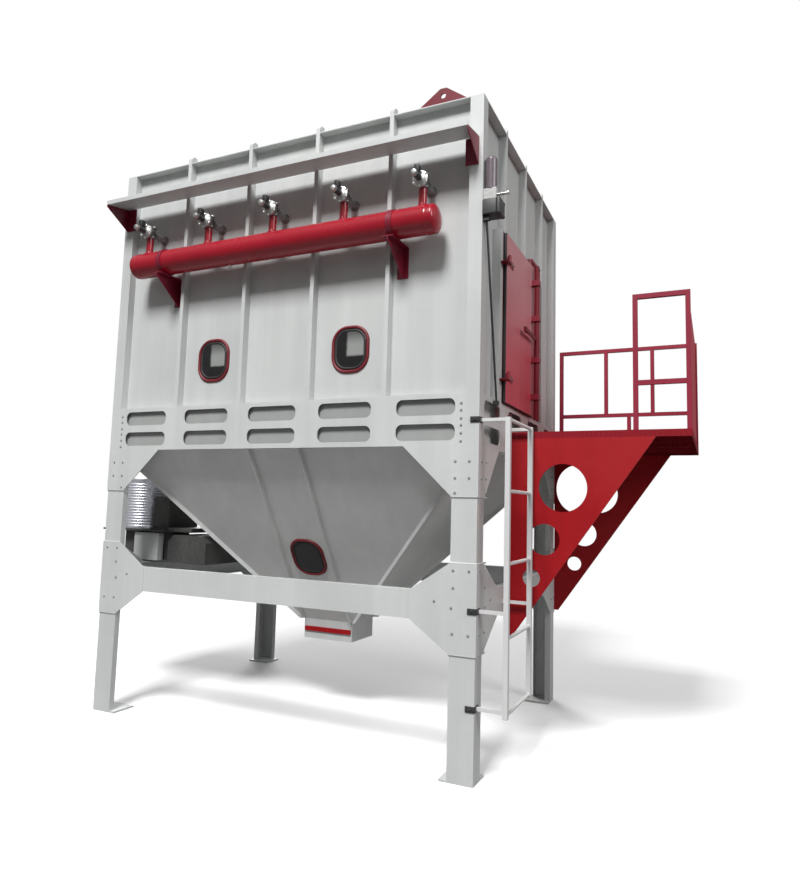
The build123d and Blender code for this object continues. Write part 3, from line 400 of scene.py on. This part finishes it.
cast_aluminium = metal("cast_aluminium", (0.40, 0.40, 0.39), 0.48, grain=260.0)
dark_casting = metal("dark_casting", (0.20, 0.20, 0.20), 0.45, grain=260.0)
bright_metal = metal("bright_metal", (0.80, 0.80, 0.78), 0.25)
silencer_steel = metal("silencer_steel", (0.82, 0.82, 0.90), 0.36, (1, 1, 14), 22.0, stain=0.12)
gasket_red = moulded("gasket_red", (0.15, 0.006, 0.012), 0.5)
black_rubber = moulded("black_rubber", (0.016, 0.015, 0.015), 0.60)
black_plastic = moulded("black_plastic", (0.018, 0.018, 0.020), 0.42)
smoked_bowl = moulded("smoked_bowl", (0.125, 0.100, 0.115), 0.30)

# %% Glass of the sight windows
window_x, window_z = 0.58, 2.631


def dark_glass_with_pale_patch(place):
    """Panes: nearly black, a painted shade of the unlit housing, with a pale patch painted in the upper
    right part of the wall's two. x is wrapped to run from -0.58 to 0.58 over each pane, and z is taken
    from the panes' middle."""
    mottle = place.noise(14.0, 4.0)
    across = place.axis("X") + window_x
    across = across.node("ShaderNodeMath", {0: across, 1: window_x, 2: -window_x}, operation="WRAP")
    rise = place.axis("Z") - window_z
    # The pane's near black is a painted shade of the unlit housing. Pale is a patch painted in the upper
    # right of the wall's two panes.
    pale = (across + mottle * 0.010).clamp(-0.030, -0.008) * (rise + mottle * 0.008).clamp(-0.050, -0.030)
    pale = pale * (1.0 - rise.clamp(0.02, 0.13) * 0.7)
    coat = mottle.blend((0.006, 0.006, 0.007, 1), (0.018, 0.017, 0.017, 1))
    return {"Base Color": pale.blend(coat, (0.26, 0.27, 0.26, 1)),
            "Roughness": pale * 0.35 + mottle * 0.12 + 0.05}


pane_glass = surface("pane_glass", (0.012, 0.012, 0.013), 0.1, pattern=dark_glass_with_pale_patch)

# %% [markdown]
# ## Which coat goes on which node
# The frame gives each CAD node by its name, so a table from coat to nodes is enough: each material
# slot of a node gets the coat. The last line prints any node that the table forgot. Nodes that a
# finer piece replaces further down are painted too, which costs nothing.

# %% Coats for the CAD nodes
coats = {
    body_paint: ("front_wall", "back_wall", "left_wall", "right_wall_front", "right_wall_back",
                 "right_wall_door_bay", "roof", "corner_posts", "ribs_front_back", "ribs_sides",
                 "top_flange", "rain_canopy", "outlet_box"),
    hopper_lightened_paint: ("hopper_collar", "hopper_plates", "hopper_stiffeners"),
    frame_paint: ("legs", "base_plates", "ring_beams", "upper_knee_plates", "lower_knee_plates",
                  "belt_front_back", "belt_sides", "fan_terminal_box"),
    signal_red: ("platform_gussets", "outlet_strip"),
    panel_red: ("railing_end_panel",),
    railing_red: ("railings",),
    deck_red: ("platform_floor",),
    header_red: ("air_header",),
    bracket_red: ("header_brackets",),
    door_red: ("door_leaf",),
    maroon_and_painted_shade: ("door_frame", "canopy_brackets", "door_hinges", "lock_bar", "lifting_lugs"),
    ladder_grey: ("ladder", "ladder_brackets"),
    dark_grey: ("fan_plates", "fan_casing"),
    box_grey: ("control_box",),
    casting_grey: ("blow_pipes",),
    black_paint: ("supply_pipe",),
    smoked_bowl: ("air_filter",),
    gasket_red: ("window_gaskets",),
    pane_glass: ("window_panes",),
    cast_aluminium: ("pulse_valves",),
    bright_metal: ("filter_head",),
    black_plastic: ("valve_plugs",),
    silencer_steel: ("fan_silencer",),
}
for coat, names in coats.items():
    for name in names:
        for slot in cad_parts[name].material_slots:
            slot.material = coat
painted = {name for names in coats.values() for name in names}
print("Nodes without a coat:", sorted(set(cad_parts) - painted))

# %% [markdown]
# ## The compressed air header
# The red tube along the front stores the air for the cleaning pulses. It is a rolled tube with two
# dished ends welded on, and a short stub stands under each valve. It could be a cylinder with scaled
# spheres, but a lathe profile gives the real dish, and its welds are only a small bump in the radius.

# %% Header tube with dished ends and welds
header_place = np.array([0.0, -1.154, 3.380])
header_radius, header_half, dish_depth = 0.0926, 1.268, 0.034
valve_x = (np.arange(5) - 2) * 0.572 + 0.006
valve_z = 3.634


def bead(distance, height=0.0022, width=0.0045):
    """The rise of a weld at a distance from its middle: height x exp(-(distance / width)^2)."""
    return height * np.exp(-(distance / width) ** 2)


def dished_tube(radius, half, depth, seams):
    """Lathe profile: r = R sqrt(1 - e^2), where e runs from 0 to 1 over each dished end, plus weld
    beads at the seams. The heights are closest together at the ends and at the seams."""
    shoulder = half - depth
    near_seams = np.add.outer(seams, np.linspace(-0.012, 0.012, 13)).ravel()
    ends = shoulder + depth * np.sin(np.linspace(0, np.pi / 2, 14))
    side = np.sort(np.concatenate([np.linspace(0.0, shoulder, 9), near_seams, ends[1:]]))
    heights = np.concatenate([-side[:0:-1], side])
    far = np.abs(heights)
    radii = radius * np.sqrt(1 - (np.clip(far - shoulder, 0, depth) / depth) ** 2)
    radii += sum(bead(far - seam) for seam in seams)
    radii[[0, -1]] = 0.0
    return np.stack([radii, heights], axis=-1)


header_profile = dished_tube(header_radius, header_half, dish_depth, [header_half - 0.075])
tube = aimed(turned(header_profile, 72), (1, 0, 0))
quarter = np.linspace(np.pi / 2, 0, 7)
flare = np.stack([0.0392 - 0.012 * np.sin(quarter), 0.106 - 0.016 * np.cos(quarter)], axis=-1)
stub_profile = [(0.0, 0.208), (0.0272, 0.208), *flare, (0.0392, 0.07), (0.0, 0.07)]
stubs = copies(turned(stub_profile, 28), [(x, 0, 0) for x in valve_x])
drain_profile = [(0.0, -0.118), (0.012, -0.118), (0.013, -0.116), (0.013, -0.104), (0.009, -0.102),
                 (0.009, -0.085), (0.0, -0.085)]
drain = moved(turned(drain_profile, 6), (-0.35, 0, 0))
piece("air_header_shell", [moved(shape, header_place) for shape in (tube, stubs)], header_red,
      replaces=("air_header",))
piece("header_drain_plug", [moved(drain, header_place)], bright_metal)

# %% [markdown]
# ## Small solids that repeat
# Bolts, plugs and clamps come again and again. A bolt is a washer and a six-sided head, both lathe
# turned with few sides. A moulded block is a ball pulled apart: its eight eighths move to the
# corners, and the faces between them grow flat.

# %% Bolts and rounded blocks
def bolt(head, height):
    """A washer and a hexagonal head, standing up Z. `head` is the radius through its corners."""
    rim = head * 1.34
    washer = turned([(0.0, 0.003), (head * 1.28, 0.003), (rim, 0.0022), (rim, -0.001)], 14)
    hexagon = turned([(0.0, height), (head * 0.82, height), (head, height * 0.84), (head, 0.003)], 6)
    return stack([washer, hexagon])


def rounded_block(low, high, radius, steps=3):
    """A block with round edges: every point of a ball of this radius, pushed outwards by the block's
    half sizes less the radius, with the signs of the eighth of the ball that it lies in."""
    low, high = np.asarray(low, float), np.asarray(high, float)
    half = (high - low) / 2 - radius
    quarter = np.linspace(0, np.pi / 2, steps + 1)
    around = (np.arange(4)[:, None] * np.pi / 2 + quarter).ravel()
    rise = np.concatenate([quarter - np.pi / 2, quarter])[:, None]
    x_sign, y_sign = np.repeat([1, -1, -1, 1], steps + 1), np.repeat([1, 1, -1, -1], steps + 1)
    z_sign = np.repeat([-1, 1], steps + 1)[:, None]
    flat = np.zeros_like(rise * around)
    points = np.stack([radius * np.cos(rise) * np.cos(around) + x_sign * half[0] + flat,
                       radius * np.cos(rise) * np.sin(around) + y_sign * half[1] + flat,
                       radius * np.sin(rise) + z_sign * half[2] + flat], axis=-1)
    pole = np.zeros_like(points[:1])
    poles = [pole + [0, 0, sign * (half[2] + radius)] for sign in (-1, 1)]
    points = np.concatenate([poles[0], points, poles[1]]) + (low + high) / 2
    return grid(points, close_columns=True)


# %% [markdown]
# ## Pulse valves
# Each stub carries a right-angled diaphragm valve: a dark cast body, a bright cover held by bolts, and
# a coil whose plug sits on top. A burst of air leaves backwards through the wall. Nearly everything
# here is round about one of three axes, so a valve is a set of lathe profiles, given as (radius,
# height) in metres, and copies put it at each stub.

# %% One valve, five times
forwards, upwards, leftwards = (0, -1, 0), (0, 0, 1), (-1, 0, 0)
valve_places = [(x, header_place[1], valve_z) for x in valve_x]
pilot_place = (0, 0.036, 0)
lug_angles = np.arange(6) * np.pi / 3 + np.pi / 6


def along(profile, sides=32, axis=forwards, place=(0, 0, 0)):
    """A lathe shape about an axis, shifted to a place."""
    return moved(aimed(turned(profile, sides), axis), place)


def at_lugs(shape, radius, y):
    """Copies of a shape at the six places round a valve's flange, with its axis forwards."""
    ring = [(radius * math.cos(t), y, radius * math.sin(t)) for t in lug_angles]
    return copies(aimed(shape, forwards), ring)


body = along([(0.0, 0.0435), (0.0528, 0.0435), (0.0540, 0.0415), (0.0540, 0.0300), (0.0525, 0.0280),
              (0.0440, 0.0240), (0.0430, 0.0060), (0.0405, -0.0090), (0.0350, -0.0220),
              (0.0275, -0.0290), (0.0275, -0.0340), (0.0, -0.0340)])
outlet_nut = along([(0.0, -0.0518), (0.0330, -0.0518), (0.0345, -0.050), (0.0345, -0.033),
                    (0.0330, -0.031), (0.0, -0.030)], 6)
neck = along([(0.0, 0.0), (0.0300, 0.0), (0.0300, -0.018), (0.0300, -0.020), (0.0, -0.020)], 24, upwards)
inlet_nut = along([(0.0, -0.018), (0.0345, -0.0185), (0.0360, -0.0205), (0.0360, -0.0395),
                   (0.0345, -0.0415), (0.0, -0.0415)], 6, upwards)
lug = turned([(0.0, 0.0435), (0.0085, 0.0435), (0.0095, 0.0425), (0.0095, 0.0290), (0.0, 0.0290)], 12)
valve_body = stack([body, outlet_nut, neck, inlet_nut, at_lugs(lug, 0.0500, 0.0)])
piece("valve_bodies", [copies(valve_body, valve_places)], dark_casting, replaces=("pulse_valves",))

# %% Covers with their bolts
cover = along([(0.0, 0.0700), (0.0200, 0.0698), (0.0225, 0.0690), (0.0235, 0.0640), (0.0330, 0.0615),
               (0.0400, 0.0565), (0.0440, 0.0545), (0.0515, 0.0540), (0.0535, 0.0525),
               (0.0540, 0.0505), (0.0540, 0.0440), (0.0, 0.0440)])
coil_nut = along([(0.0, 0.1565), (0.0100, 0.1560), (0.0165, 0.1540), (0.0200, 0.1490),
                  (0.0205, 0.1420), (0.0205, 0.1300), (0.0190, 0.1270), (0.0, 0.1270)])
pilot_knob = along([(0.0, 0.0720), (0.0110, 0.0715), (0.0160, 0.0690), (0.0175, 0.0640),
                    (0.0175, 0.0560), (0.0150, 0.0520), (0.0, 0.0520)], 20, upwards, pilot_place)
piece("valve_covers", [copies(stack([cover, coil_nut, pilot_knob]), valve_places)], cast_aluminium)
cover_bolts = at_lugs(bolt(0.0055, 0.0065), 0.0485, -0.0530)
piece("valve_cover_bolts", [copies(cover_bolts, valve_places)], bright_metal)

# %% Coils and plugs
coil = along([(0.0, 0.1275), (0.0195, 0.1275), (0.0215, 0.1255), (0.0215, 0.0725), (0.0205, 0.0705),
              (0.0, 0.0690)])
pilot_stem = along([(0.0, 0.0530), (0.0100, 0.0530), (0.0100, 0.0340), (0.0125, 0.0320),
                    (0.0125, 0.0200), (0.0, 0.0200)], 16, upwards, pilot_place)
plug = rounded_block((-0.0165, -0.1125, 0.0195), (0.0165, -0.0740, 0.0700), 0.005)
plug_nut = along([(0.0, 0.0190), (0.0075, 0.0188), (0.0085, 0.0175), (0.0085, 0.0100), (0.0, 0.0100)],
                 6, leftwards, (-0.0080, -0.093, 0.050))
piece("valve_coils", [copies(stack([coil, pilot_stem, plug, plug_nut]), valve_places)], black_plastic,
      replaces=("valve_plugs",))

# %% [markdown]
# ## The rain canopy
# A folded sheet keeps rain off the valves. It falls a little towards the front, where its edge turns
# up as a lip, and it stops short of the wall sheet, so a line of light slips down behind it. The
# section is one thin outline, carried along the front. A bracket is the same idea, a few millimetres
# long.

# %% Canopy sheet and its end brackets
canopy_half, canopy_front, canopy_back = 1.487, -1.2795, -1.0605
sheet_gauge = 0.005
lip_back = canopy_front + sheet_gauge


def slab(outline, start, end):
    """A flat outline of (y, z) points given thickness from x = start to x = end, closed with fans."""
    stations = np.array([[start, 0, 0], [(start + end) / 2, 0, 0], [end, 0, 0]])
    points = stations[:, None] + np.insert(np.asarray(outline, float), 0, 0.0, axis=1)[None]
    middle = points.mean(axis=1, keepdims=True) + np.zeros_like(points)
    return grid(np.concatenate([middle[:1], points, middle[-1:]]), close_columns=True)


canopy_section = [(canopy_back, 3.922), (lip_back, 3.8815), (lip_back, 3.9075),
                  (canopy_front, 3.9075), (canopy_front, 3.8760), (canopy_back, 3.9165)]
stations = np.linspace(-canopy_half, canopy_half, 3)[:, None]
strip = np.insert(np.broadcast_to(canopy_section, (3, 6, 2)), 0, stations, axis=2)
end_faces = np.array([[0, 1, 4, 5], [1, 2, 3, 4]])
canopy_ends = [(strip[k], end_faces) for k in (0, -1)]
piece("canopy_sheet", [grid(strip, close_columns=True), *canopy_ends], body_paint,
      replaces=("rain_canopy",), angle=20)

bracket_side = [(canopy_back, 3.916), (canopy_front, 3.8755), (canopy_front, 3.860),
                (canopy_back, 3.735)]
bracket_foot = [(canopy_back - sheet_gauge, 3.912), (canopy_back - sheet_gauge, 3.735),
                (canopy_back, 3.735), (canopy_back, 3.912)]
inner = canopy_half - sheet_gauge
sides = [slab(bracket_side, *sorted((s * canopy_half, s * inner))) for s in (-1, 1)]
feet = [slab(bracket_foot, *sorted((s * inner, s * (inner - 0.083)))) for s in (-1, 1)]
piece("canopy_end_brackets", sides + feet, bracket_red, replaces=("canopy_brackets",), angle=20)

# %% [markdown]
# ## Window rubbers
# A sight window is a pane held by a rubber profile: a red lip outside and a black bead that grips the
# glass. The rubber follows a rectangle with round corners, so a half-round outline is carried along
# that path. The hopper's window is the same one, leaned over with its plate.

# %% Rubber carried round each window
window_half, window_corner = np.array([0.145, 0.164]), 0.120
lean = np.array([0.0, -0.815, 1.285]) / math.hypot(0.815, 1.285)
windows = [((-window_x, -1.0, window_z), upwards), ((window_x, -1.0, window_z), upwards),
           ((0.0, -0.4985, 1.190), lean)]


def rounded_loop(half, radius, per_corner):
    """Points round a rectangle of these half sizes: an arc of the radius at each corner."""
    corners = [(1, 1), (-1, 1), (-1, -1), (1, -1)]
    angles = [np.linspace(0, np.pi / 2, per_corner) + k * np.pi / 2 for k in range(4)]
    arcs = [radius * np.stack([np.cos(a), np.sin(a)], axis=-1) for a in angles]
    return np.vstack([np.array(corner) * (half - radius) + arc for corner, arc in zip(corners, arcs)])


def lip(width, height, points=12):
    """Half of an ellipse, width across and height up, closed underneath."""
    t = np.linspace(0, np.pi, points)
    return np.stack([width / 2 * np.cos(t), height * np.sin(t)], axis=-1)[::-1]


def window_rubber(inset, width, height, lift=0.0):
    """The rubber of all three windows, carried along loops at an inset from the outer edge, in the
    plane of X and each window's upward direction."""
    flat = rounded_loop(window_half - inset, window_corner - inset, 10)
    shapes = []
    for centre, upward in windows:
        out = np.cross((1, 0, 0), upward)
        loop = np.asarray(centre) + lift * out + flat @ np.array([(1.0, 0.0, 0.0), upward])
        shapes.append(swept(loop, lip(width, height), closed=True, side=out))
    return shapes


piece("window_rubbers", window_rubber(0.012, 0.024, 0.0138), gasket_red, replaces=("window_gaskets",))
piece("window_beads", window_rubber(0.034, 0.020, 0.0095, 0.001), black_rubber)

# %% [markdown]
# ## Behind the belt's slots
# The slots of the long sides don't open into the dark: a sheet closes them a finger's width behind
# the belt, so only a slot's top and near edge are black. Each sheet is a rounded block drawn out
# flat, because its edges are never seen. The sheets are a darker grey than the body: a painted shade
# of the recess behind the slots. The short sides' slots are open.

# %% Sheets behind the slots
sheet_low, sheet_high = np.array([-1.40, -0.002, 1.972]), np.array([1.40, 0.002, 2.283])
slot_sheets = [rounded_block(sheet_low + [0, y, 0], sheet_high + [0, y, 0], 0.0015, 1)
               for y in (-1.032, 1.032)]
piece("belt_slot_sheets", slot_sheets, slot_recess_shade_paint)

# %% [markdown]
# ## Bolts in the knee plates
# The legs, knee plates and belt are bolted together. The photograph shows where each head sits on the
# right front leg, and the machine is the same on its left, so the places are listed once and
# mirrored. The sides get the same pattern, turned through a right angle.

# %% Bolt heads
knee_bolts = [(1.368, 1.870), (1.457, 1.870), (1.368, 1.768), (1.457, 1.768), (1.368, 1.678),
              (1.366, 1.217), (1.467, 1.217), (1.368, 1.114), (1.358, 0.996), (1.249, 1.028),
              (1.367, 0.847), (1.467, 0.845)]
belt_bolts = [(1.400, z) for z in (1.992, 2.041, 2.090, 2.132, 2.182, 2.225)]
side_bolts = [(x - 0.455, z) for x, z in knee_bolts]
head = bolt(0.0062, 0.0055)
front_heads = [copies(aimed(head, forwards), [(s * x, -1.060, z) for x, z in knee_bolts + belt_bolts])
               for s in (-1, 1)]
side_heads = [copies(aimed(head, (s, 0, 0)), [(s * 1.515, t * y, z) for y, z in side_bolts])
              for s in (-1, 1) for t in (-1, 1)]
piece("knee_bolts", front_heads + side_heads, bolt_paint)

# %% [markdown]
# ## Welds round the knee plates
# A knee plate lies on the leg and is welded along its edges. Painted over, such a weld is a soft ridge
# that fills the corner, so the step reads as a faint line and not as a gap. Each one is half an
# ellipse carried along a straight path.

# %% Painted weld beads
leg_front, leg_side = -1.0545, 1.5095
knee_edges = [1.655, 1.260, 0.725]


def straight(start, end, steps=24):
    """Points from start to end: start + t (end - start)."""
    t = np.linspace(0.0, 1.0, steps)[:, None]
    return np.asarray(start, float) + t * (np.asarray(end, float) - np.asarray(start, float))


def weld(start, end, side, width=0.012, height=0.006):
    """An even bead along a straight path: half an ellipse with its foot sunk 1 mm into the plate."""
    outline = np.vstack([lip(width, height, 8), [[0.0, -0.001]]])
    return swept(straight(start, end), outline, side=side)


front_welds = [weld((s * 1.340, leg_front, z), (s * 1.509, leg_front, z), forwards)
               for s in (-1, 1) for z in knee_edges]
side_welds = [weld((s * leg_side, t * 0.885, z), (s * leg_side, t * 1.054, z), (s, 0, 0))
              for s in (-1, 1) for t in (-1, 1) for z in knee_edges]
piece("knee_welds", front_welds + side_welds, frame_paint)

# %% [markdown]
# ## Ladder clamps
# The ladder is held to the right front leg by black clamps that lap round the leg's corner.
# Each is a front plate and a side plate with round edges, and a bolt.

# %% Clamps round the leg's corner
def ladder_clamp(z, out):
    """A clamp round the corner at a height, standing `out` metres off the leg's own faces."""
    corner = np.array([1.509 + out, -1.054 - out, z])
    front = rounded_block(corner + [-0.056, -0.006, -0.018], corner + [0.006, 0.0, 0.018], 0.0025)
    side = rounded_block(corner + [0.0, -0.006, -0.018], corner + [0.006, 0.060, 0.018], 0.0025)
    head = moved(aimed(bolt(0.0085, 0.008), forwards), corner + [-0.030, -0.0055, 0.0])
    return stack([front, side, head])


clamp_places = [(2.122, 0.006), (0.985, 0.006), (0.430, 0.0)]
piece("ladder_clamps", [ladder_clamp(z, out) for z, out in clamp_places], black_paint)

# %% [markdown]
# ## The platform's far gusset
# Through the near gusset's large hole the photograph shows daylight and the far leg, so the far plate
# has a wide opening there. The CAD node has the same three holes in both plates. A copy of it is
# merged and an oval is cut from the far plate with a Boolean modifier, which is then made real.

# %% An oval opening in the far plate
def opened(node, cutter_shape, name, material):
    """A copy of a CAD node less a cutter: doubles merged, Boolean difference, then a plain mesh."""
    plates = bpy.data.objects.new(name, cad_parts[node].data.copy())
    merged(plates.data, 1e-5, outwards=False)
    cutter = bpy.data.objects.new("opening", mesh_of("opening", [cutter_shape]))
    for item in (plates, cutter):
        bpy.context.scene.collection.objects.link(item)
    cut = plates.modifiers.new("opening", "BOOLEAN")
    cut.operation, cut.object, cut.solver = "DIFFERENCE", cutter, "EXACT"
    made = bpy.data.meshes.new_from_object(plates.evaluated_get(bpy.context.evaluated_depsgraph_get()))
    plates.modifiers.clear()
    bpy.data.objects.remove(cutter)
    plates.data = made
    made.materials.clear()
    made.materials.append(material)
    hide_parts(node)
    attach(plates, "collector")
    print(name, len(made.vertices), "points", len(made.polygons), "faces")


oval_half_x, oval_half_z, oval_place = 0.172, 0.205, (1.704, 1.049, 1.780)
oval = turned([(0.0, -0.03), (1.0, -0.03), (1.0, 0.03), (0.0, 0.03)], 64)
oval = aimed((oval[0] * [oval_half_x, oval_half_z, 1.0], oval[1]), (0, 1, 0), (1, 0, 0))
opened("platform_gussets", moved(oval, oval_place), "platform_gusset_plates", signal_red)

# %% [markdown]
# ## The ribbed silencer
# The fan's silencer is a drum of bright sheet with shallow rolled rings, a seamed lid and a foot rim.
# Its radius is a wave up the height, r = R - d sin^2, which a lathe profile turns into rings.

# %% Silencer drum
ring_count, ring_depth, drum_radius, rim_radius = 16, 0.0038, 0.2335, 0.2349
rise = np.linspace(0.022, 0.392, ring_count * 8 + 1)
rings = np.sin(np.pi * ring_count * (rise - rise[0]) / (rise[-1] - rise[0])) ** 2
drum = drum_radius - ring_depth * rings
silencer_profile = [(0.0, 0.001), (0.2340, 0.001), (rim_radius, 0.004), (rim_radius, 0.017),
                    (drum_radius, 0.021), *zip(drum, rise), (rim_radius, 0.396), (rim_radius, 0.414),
                    (0.2330, 0.4195), (0.2290, 0.4195), (0.2270, 0.4150), (0.0, 0.4120)]
drum_shape = moved(turned(silencer_profile, 96), (-1.715, -0.430, 1.345))
piece("silencer_shell", [drum_shape], silencer_steel, replaces=("fan_silencer",))

# %% [markdown]
# ## Door seal and jamb
# The door closes on a black rubber seal round the leaf; its black is a painted shadow of the gap
# between leaf and frame, and shows as a dark line round the leaf. The door's rear edge meets a red
# jamb that the lock bar stands in front of. The seal is half an ellipse carried round the leaf's
# edges. Bolts hold the hinge straps to the leaf, and they swing with it.

# %% Seal on the leaf's edges and the jamb beside it
leaf_low, leaf_high, seal_x = np.array([-0.590, 2.296]), np.array([0.140, 3.460]), 1.527
leaf_loop = (leaf_low + leaf_high) / 2 + rounded_loop((leaf_high - leaf_low) / 2, 0.003, 5)
leaf_path = np.insert(leaf_loop, 0, seal_x, axis=1)
# The seal's black stands for the shadow of the gap round the leaf: a painted shadow.
seal = swept(leaf_path, lip(0.0235, 0.0045, 9)[:, ::-1], closed=True, side=(1, 0, 0))
piece("door_seal_gap_shadow", [seal], black_rubber, body="door")

jamb = [rounded_block((1.4555, 0.156, 2.292), (1.519, 0.418, 3.545), 0.004),
        rounded_block((1.512, 0.380, 2.292), (1.527, 0.418, 3.545), 0.003),
        rounded_block((1.512, 0.156, 3.515), (1.527, 0.418, 3.545), 0.003)]
piece("door_jamb", jamb, jamb_red)

strap_bolts = [(1.5435, y, z) for y in (-0.555, -0.505, -0.455) for z in (2.470, 3.270)]
strap_heads = copies(aimed(bolt(0.008, 0.008), (1, 0, 0)), strap_bolts)
piece("door_strap_bolts", [strap_heads], dark_casting, body="door")

# %% [markdown]
# ## Control box
# The small dark box over the supply pipe is a moulded case: a body, a lid that stands a little proud
# of it all round, and four screws.

# %% Case, lid and screws
case = rounded_block((1.515, -1.069, 3.398), (1.606, -0.955, 3.497), 0.006)
case_lid = rounded_block((1.606, -1.0715, 3.3955), (1.628, -0.9525, 3.4995), 0.007)
screw_places = [(1.6275, y, z) for y in (-1.060, -0.964) for z in (3.406, 3.489)]
lid_screws = copies(aimed(bolt(0.0042, 0.0035), (1, 0, 0)), screw_places)
piece("control_box_case", [case, case_lid, lid_screws], box_grey, replaces=("control_box",))

# %% [markdown]
# ## The fan's inlet box and deck post
# Beside the silencer the photograph is nearly black, so what stands there is a guess: a painted sheet
# box that the fan draws through, a cover over the casing next to it, and a post under the deck's
# outer end. All are blocks with rolled edges, and the box has a flange with bolts at its foot.

# %% Inlet box, flange, bolts and post
inlet_box = rounded_block((-1.470, -0.610, 1.352), (-1.300, -0.250, 1.612), 0.014)
inlet_flange = rounded_block((-1.4785, -0.624, 1.3455), (-1.2915, -0.236, 1.3565), 0.004)
flange_bolts = [(x, y, 1.3555) for x in (-1.450, -1.385, -1.320) for y in (-0.617, -0.243)]
flange_heads = copies(bolt(0.0065, 0.0055), flange_bolts)
casing_cover = rounded_block((-1.288, -0.622, 1.3305), (-1.040, -0.238, 1.3660), 0.006)
deck_post = rounded_block((-1.775, -0.600, 1.0975), (-1.640, -0.300, 1.3295), 0.006)
piece("fan_inlet_box", [inlet_box, inlet_flange, flange_heads, casing_cover], dark_grey)
piece("fan_deck_post", [deck_post], dark_grey)

# %% [markdown]
# ## Floor, world and lamps
# The photograph has a white background, so the world shows white to the camera but lights the
# machine gently. The floor is a pale disc that fades out before the horizon and keeps the shadow.
# A large lamp in front and above gives the sheets their even light, the right side gets less, and a
# lamp behind puts a little light on what shows past the legs.

# %% World
world_light = 0.37


def backdrop_world():
    """White for the camera and through glass. For other rays the sky is brightest overhead and dim
    near the horizon, and shines a little brighter in glossy things."""
    world = bpy.data.worlds.new("studio")
    bpy.context.scene.world = world
    world.use_nodes = True
    tree = world.node_tree
    light = tree.nodes.new("ShaderNodeLightPath")
    seen = Wire(tree, light.outputs["Is Camera Ray"])
    shine = Wire(tree, light.outputs["Is Glossy Ray"])
    through = Wire(tree, light.outputs["Is Transmission Ray"])
    direction = Wire(tree, tree.nodes.new("ShaderNodeTexCoord").outputs["Generated"])
    sky = direction.axis("Z").clamp(-0.1, 0.9) * 0.75 + 0.25
    strength = sky * world_light + shine * 0.12 + seen + through
    tree.nodes["Background"].inputs["Color"].default_value = (1, 1, 1, 1)
    strength = strength.node("ShaderNodeClamp", {0: strength})
    tree.links.new(strength.socket, tree.nodes["Background"].inputs["Strength"])


backdrop_world()

# %% Floor
def floor_disc(radius):
    """A disc of rings whose material fades to nothing towards its rim."""
    ring = np.linspace(0.0, 1.0, 24)
    shape = turned(np.stack([ring * radius, np.zeros_like(ring)], axis=-1)[::-1], sides=64)
    floor = piece("floor", [shape], floor_material(radius), smooth=False)
    floor.parent = None


def floor_material(radius):
    """White matt floor for the camera, darker for the light it throws up, clear towards its rim."""
    material = surface("floor_material", (0.93, 0.93, 0.93), 0.9)
    tree = material.node_tree
    seen = Wire(tree, tree.nodes.new("ShaderNodeLightPath").outputs["Is Camera Ray"])
    tone = seen.blend((0.24, 0.24, 0.24, 1), (0.95, 0.95, 0.95, 1))
    tree.links.new(tone.socket, tree.nodes["Principled BSDF"].inputs["Base Color"])
    place = Wire(tree, tree.nodes.new("ShaderNodeTexCoord").outputs["Object"])
    away = place.node("ShaderNodeVectorMath", {0: place}, out=1, operation="LENGTH")
    clear = Wire(tree, tree.nodes.new("ShaderNodeBsdfTransparent").outputs[0])
    solid = Wire(tree, tree.nodes["Principled BSDF"].outputs[0])
    mixed = place.node("ShaderNodeMixShader", {0: away.clamp(radius * 0.35, radius), 1: solid, 2: clear})
    tree.links.new(mixed.socket, tree.nodes["Material Output"].inputs["Surface"])
    return material


floor_disc(9.0)

# %% Lamps
def lamp(name, place, target, size, power):
    """A square area lamp at a place, turned to face a target."""
    data = bpy.data.lights.new(name, "AREA")
    data.shape, data.size, data.energy = "SQUARE", size, power
    made = bpy.data.objects.new(name, data)
    made.location = place
    made.rotation_euler = (Vector(target) - Vector(place)).to_track_quat("-Z", "Y").to_euler()
    bpy.context.scene.collection.objects.link(made)


lamp("front_lamp", (1.0, -13.0, 17.5), (0, 0, 2.2), 5.0, 4900)
lamp("side_lamp", (16.0, -5.0, 11.0), (0.5, 0, 2.2), 7.0, 1250)
lamp("back_lamp", (-10.0, 15.0, 9.0), (0, 0, 2.2), 8.0, 1900)
bpy.context.scene.view_settings.view_transform = "Standard"
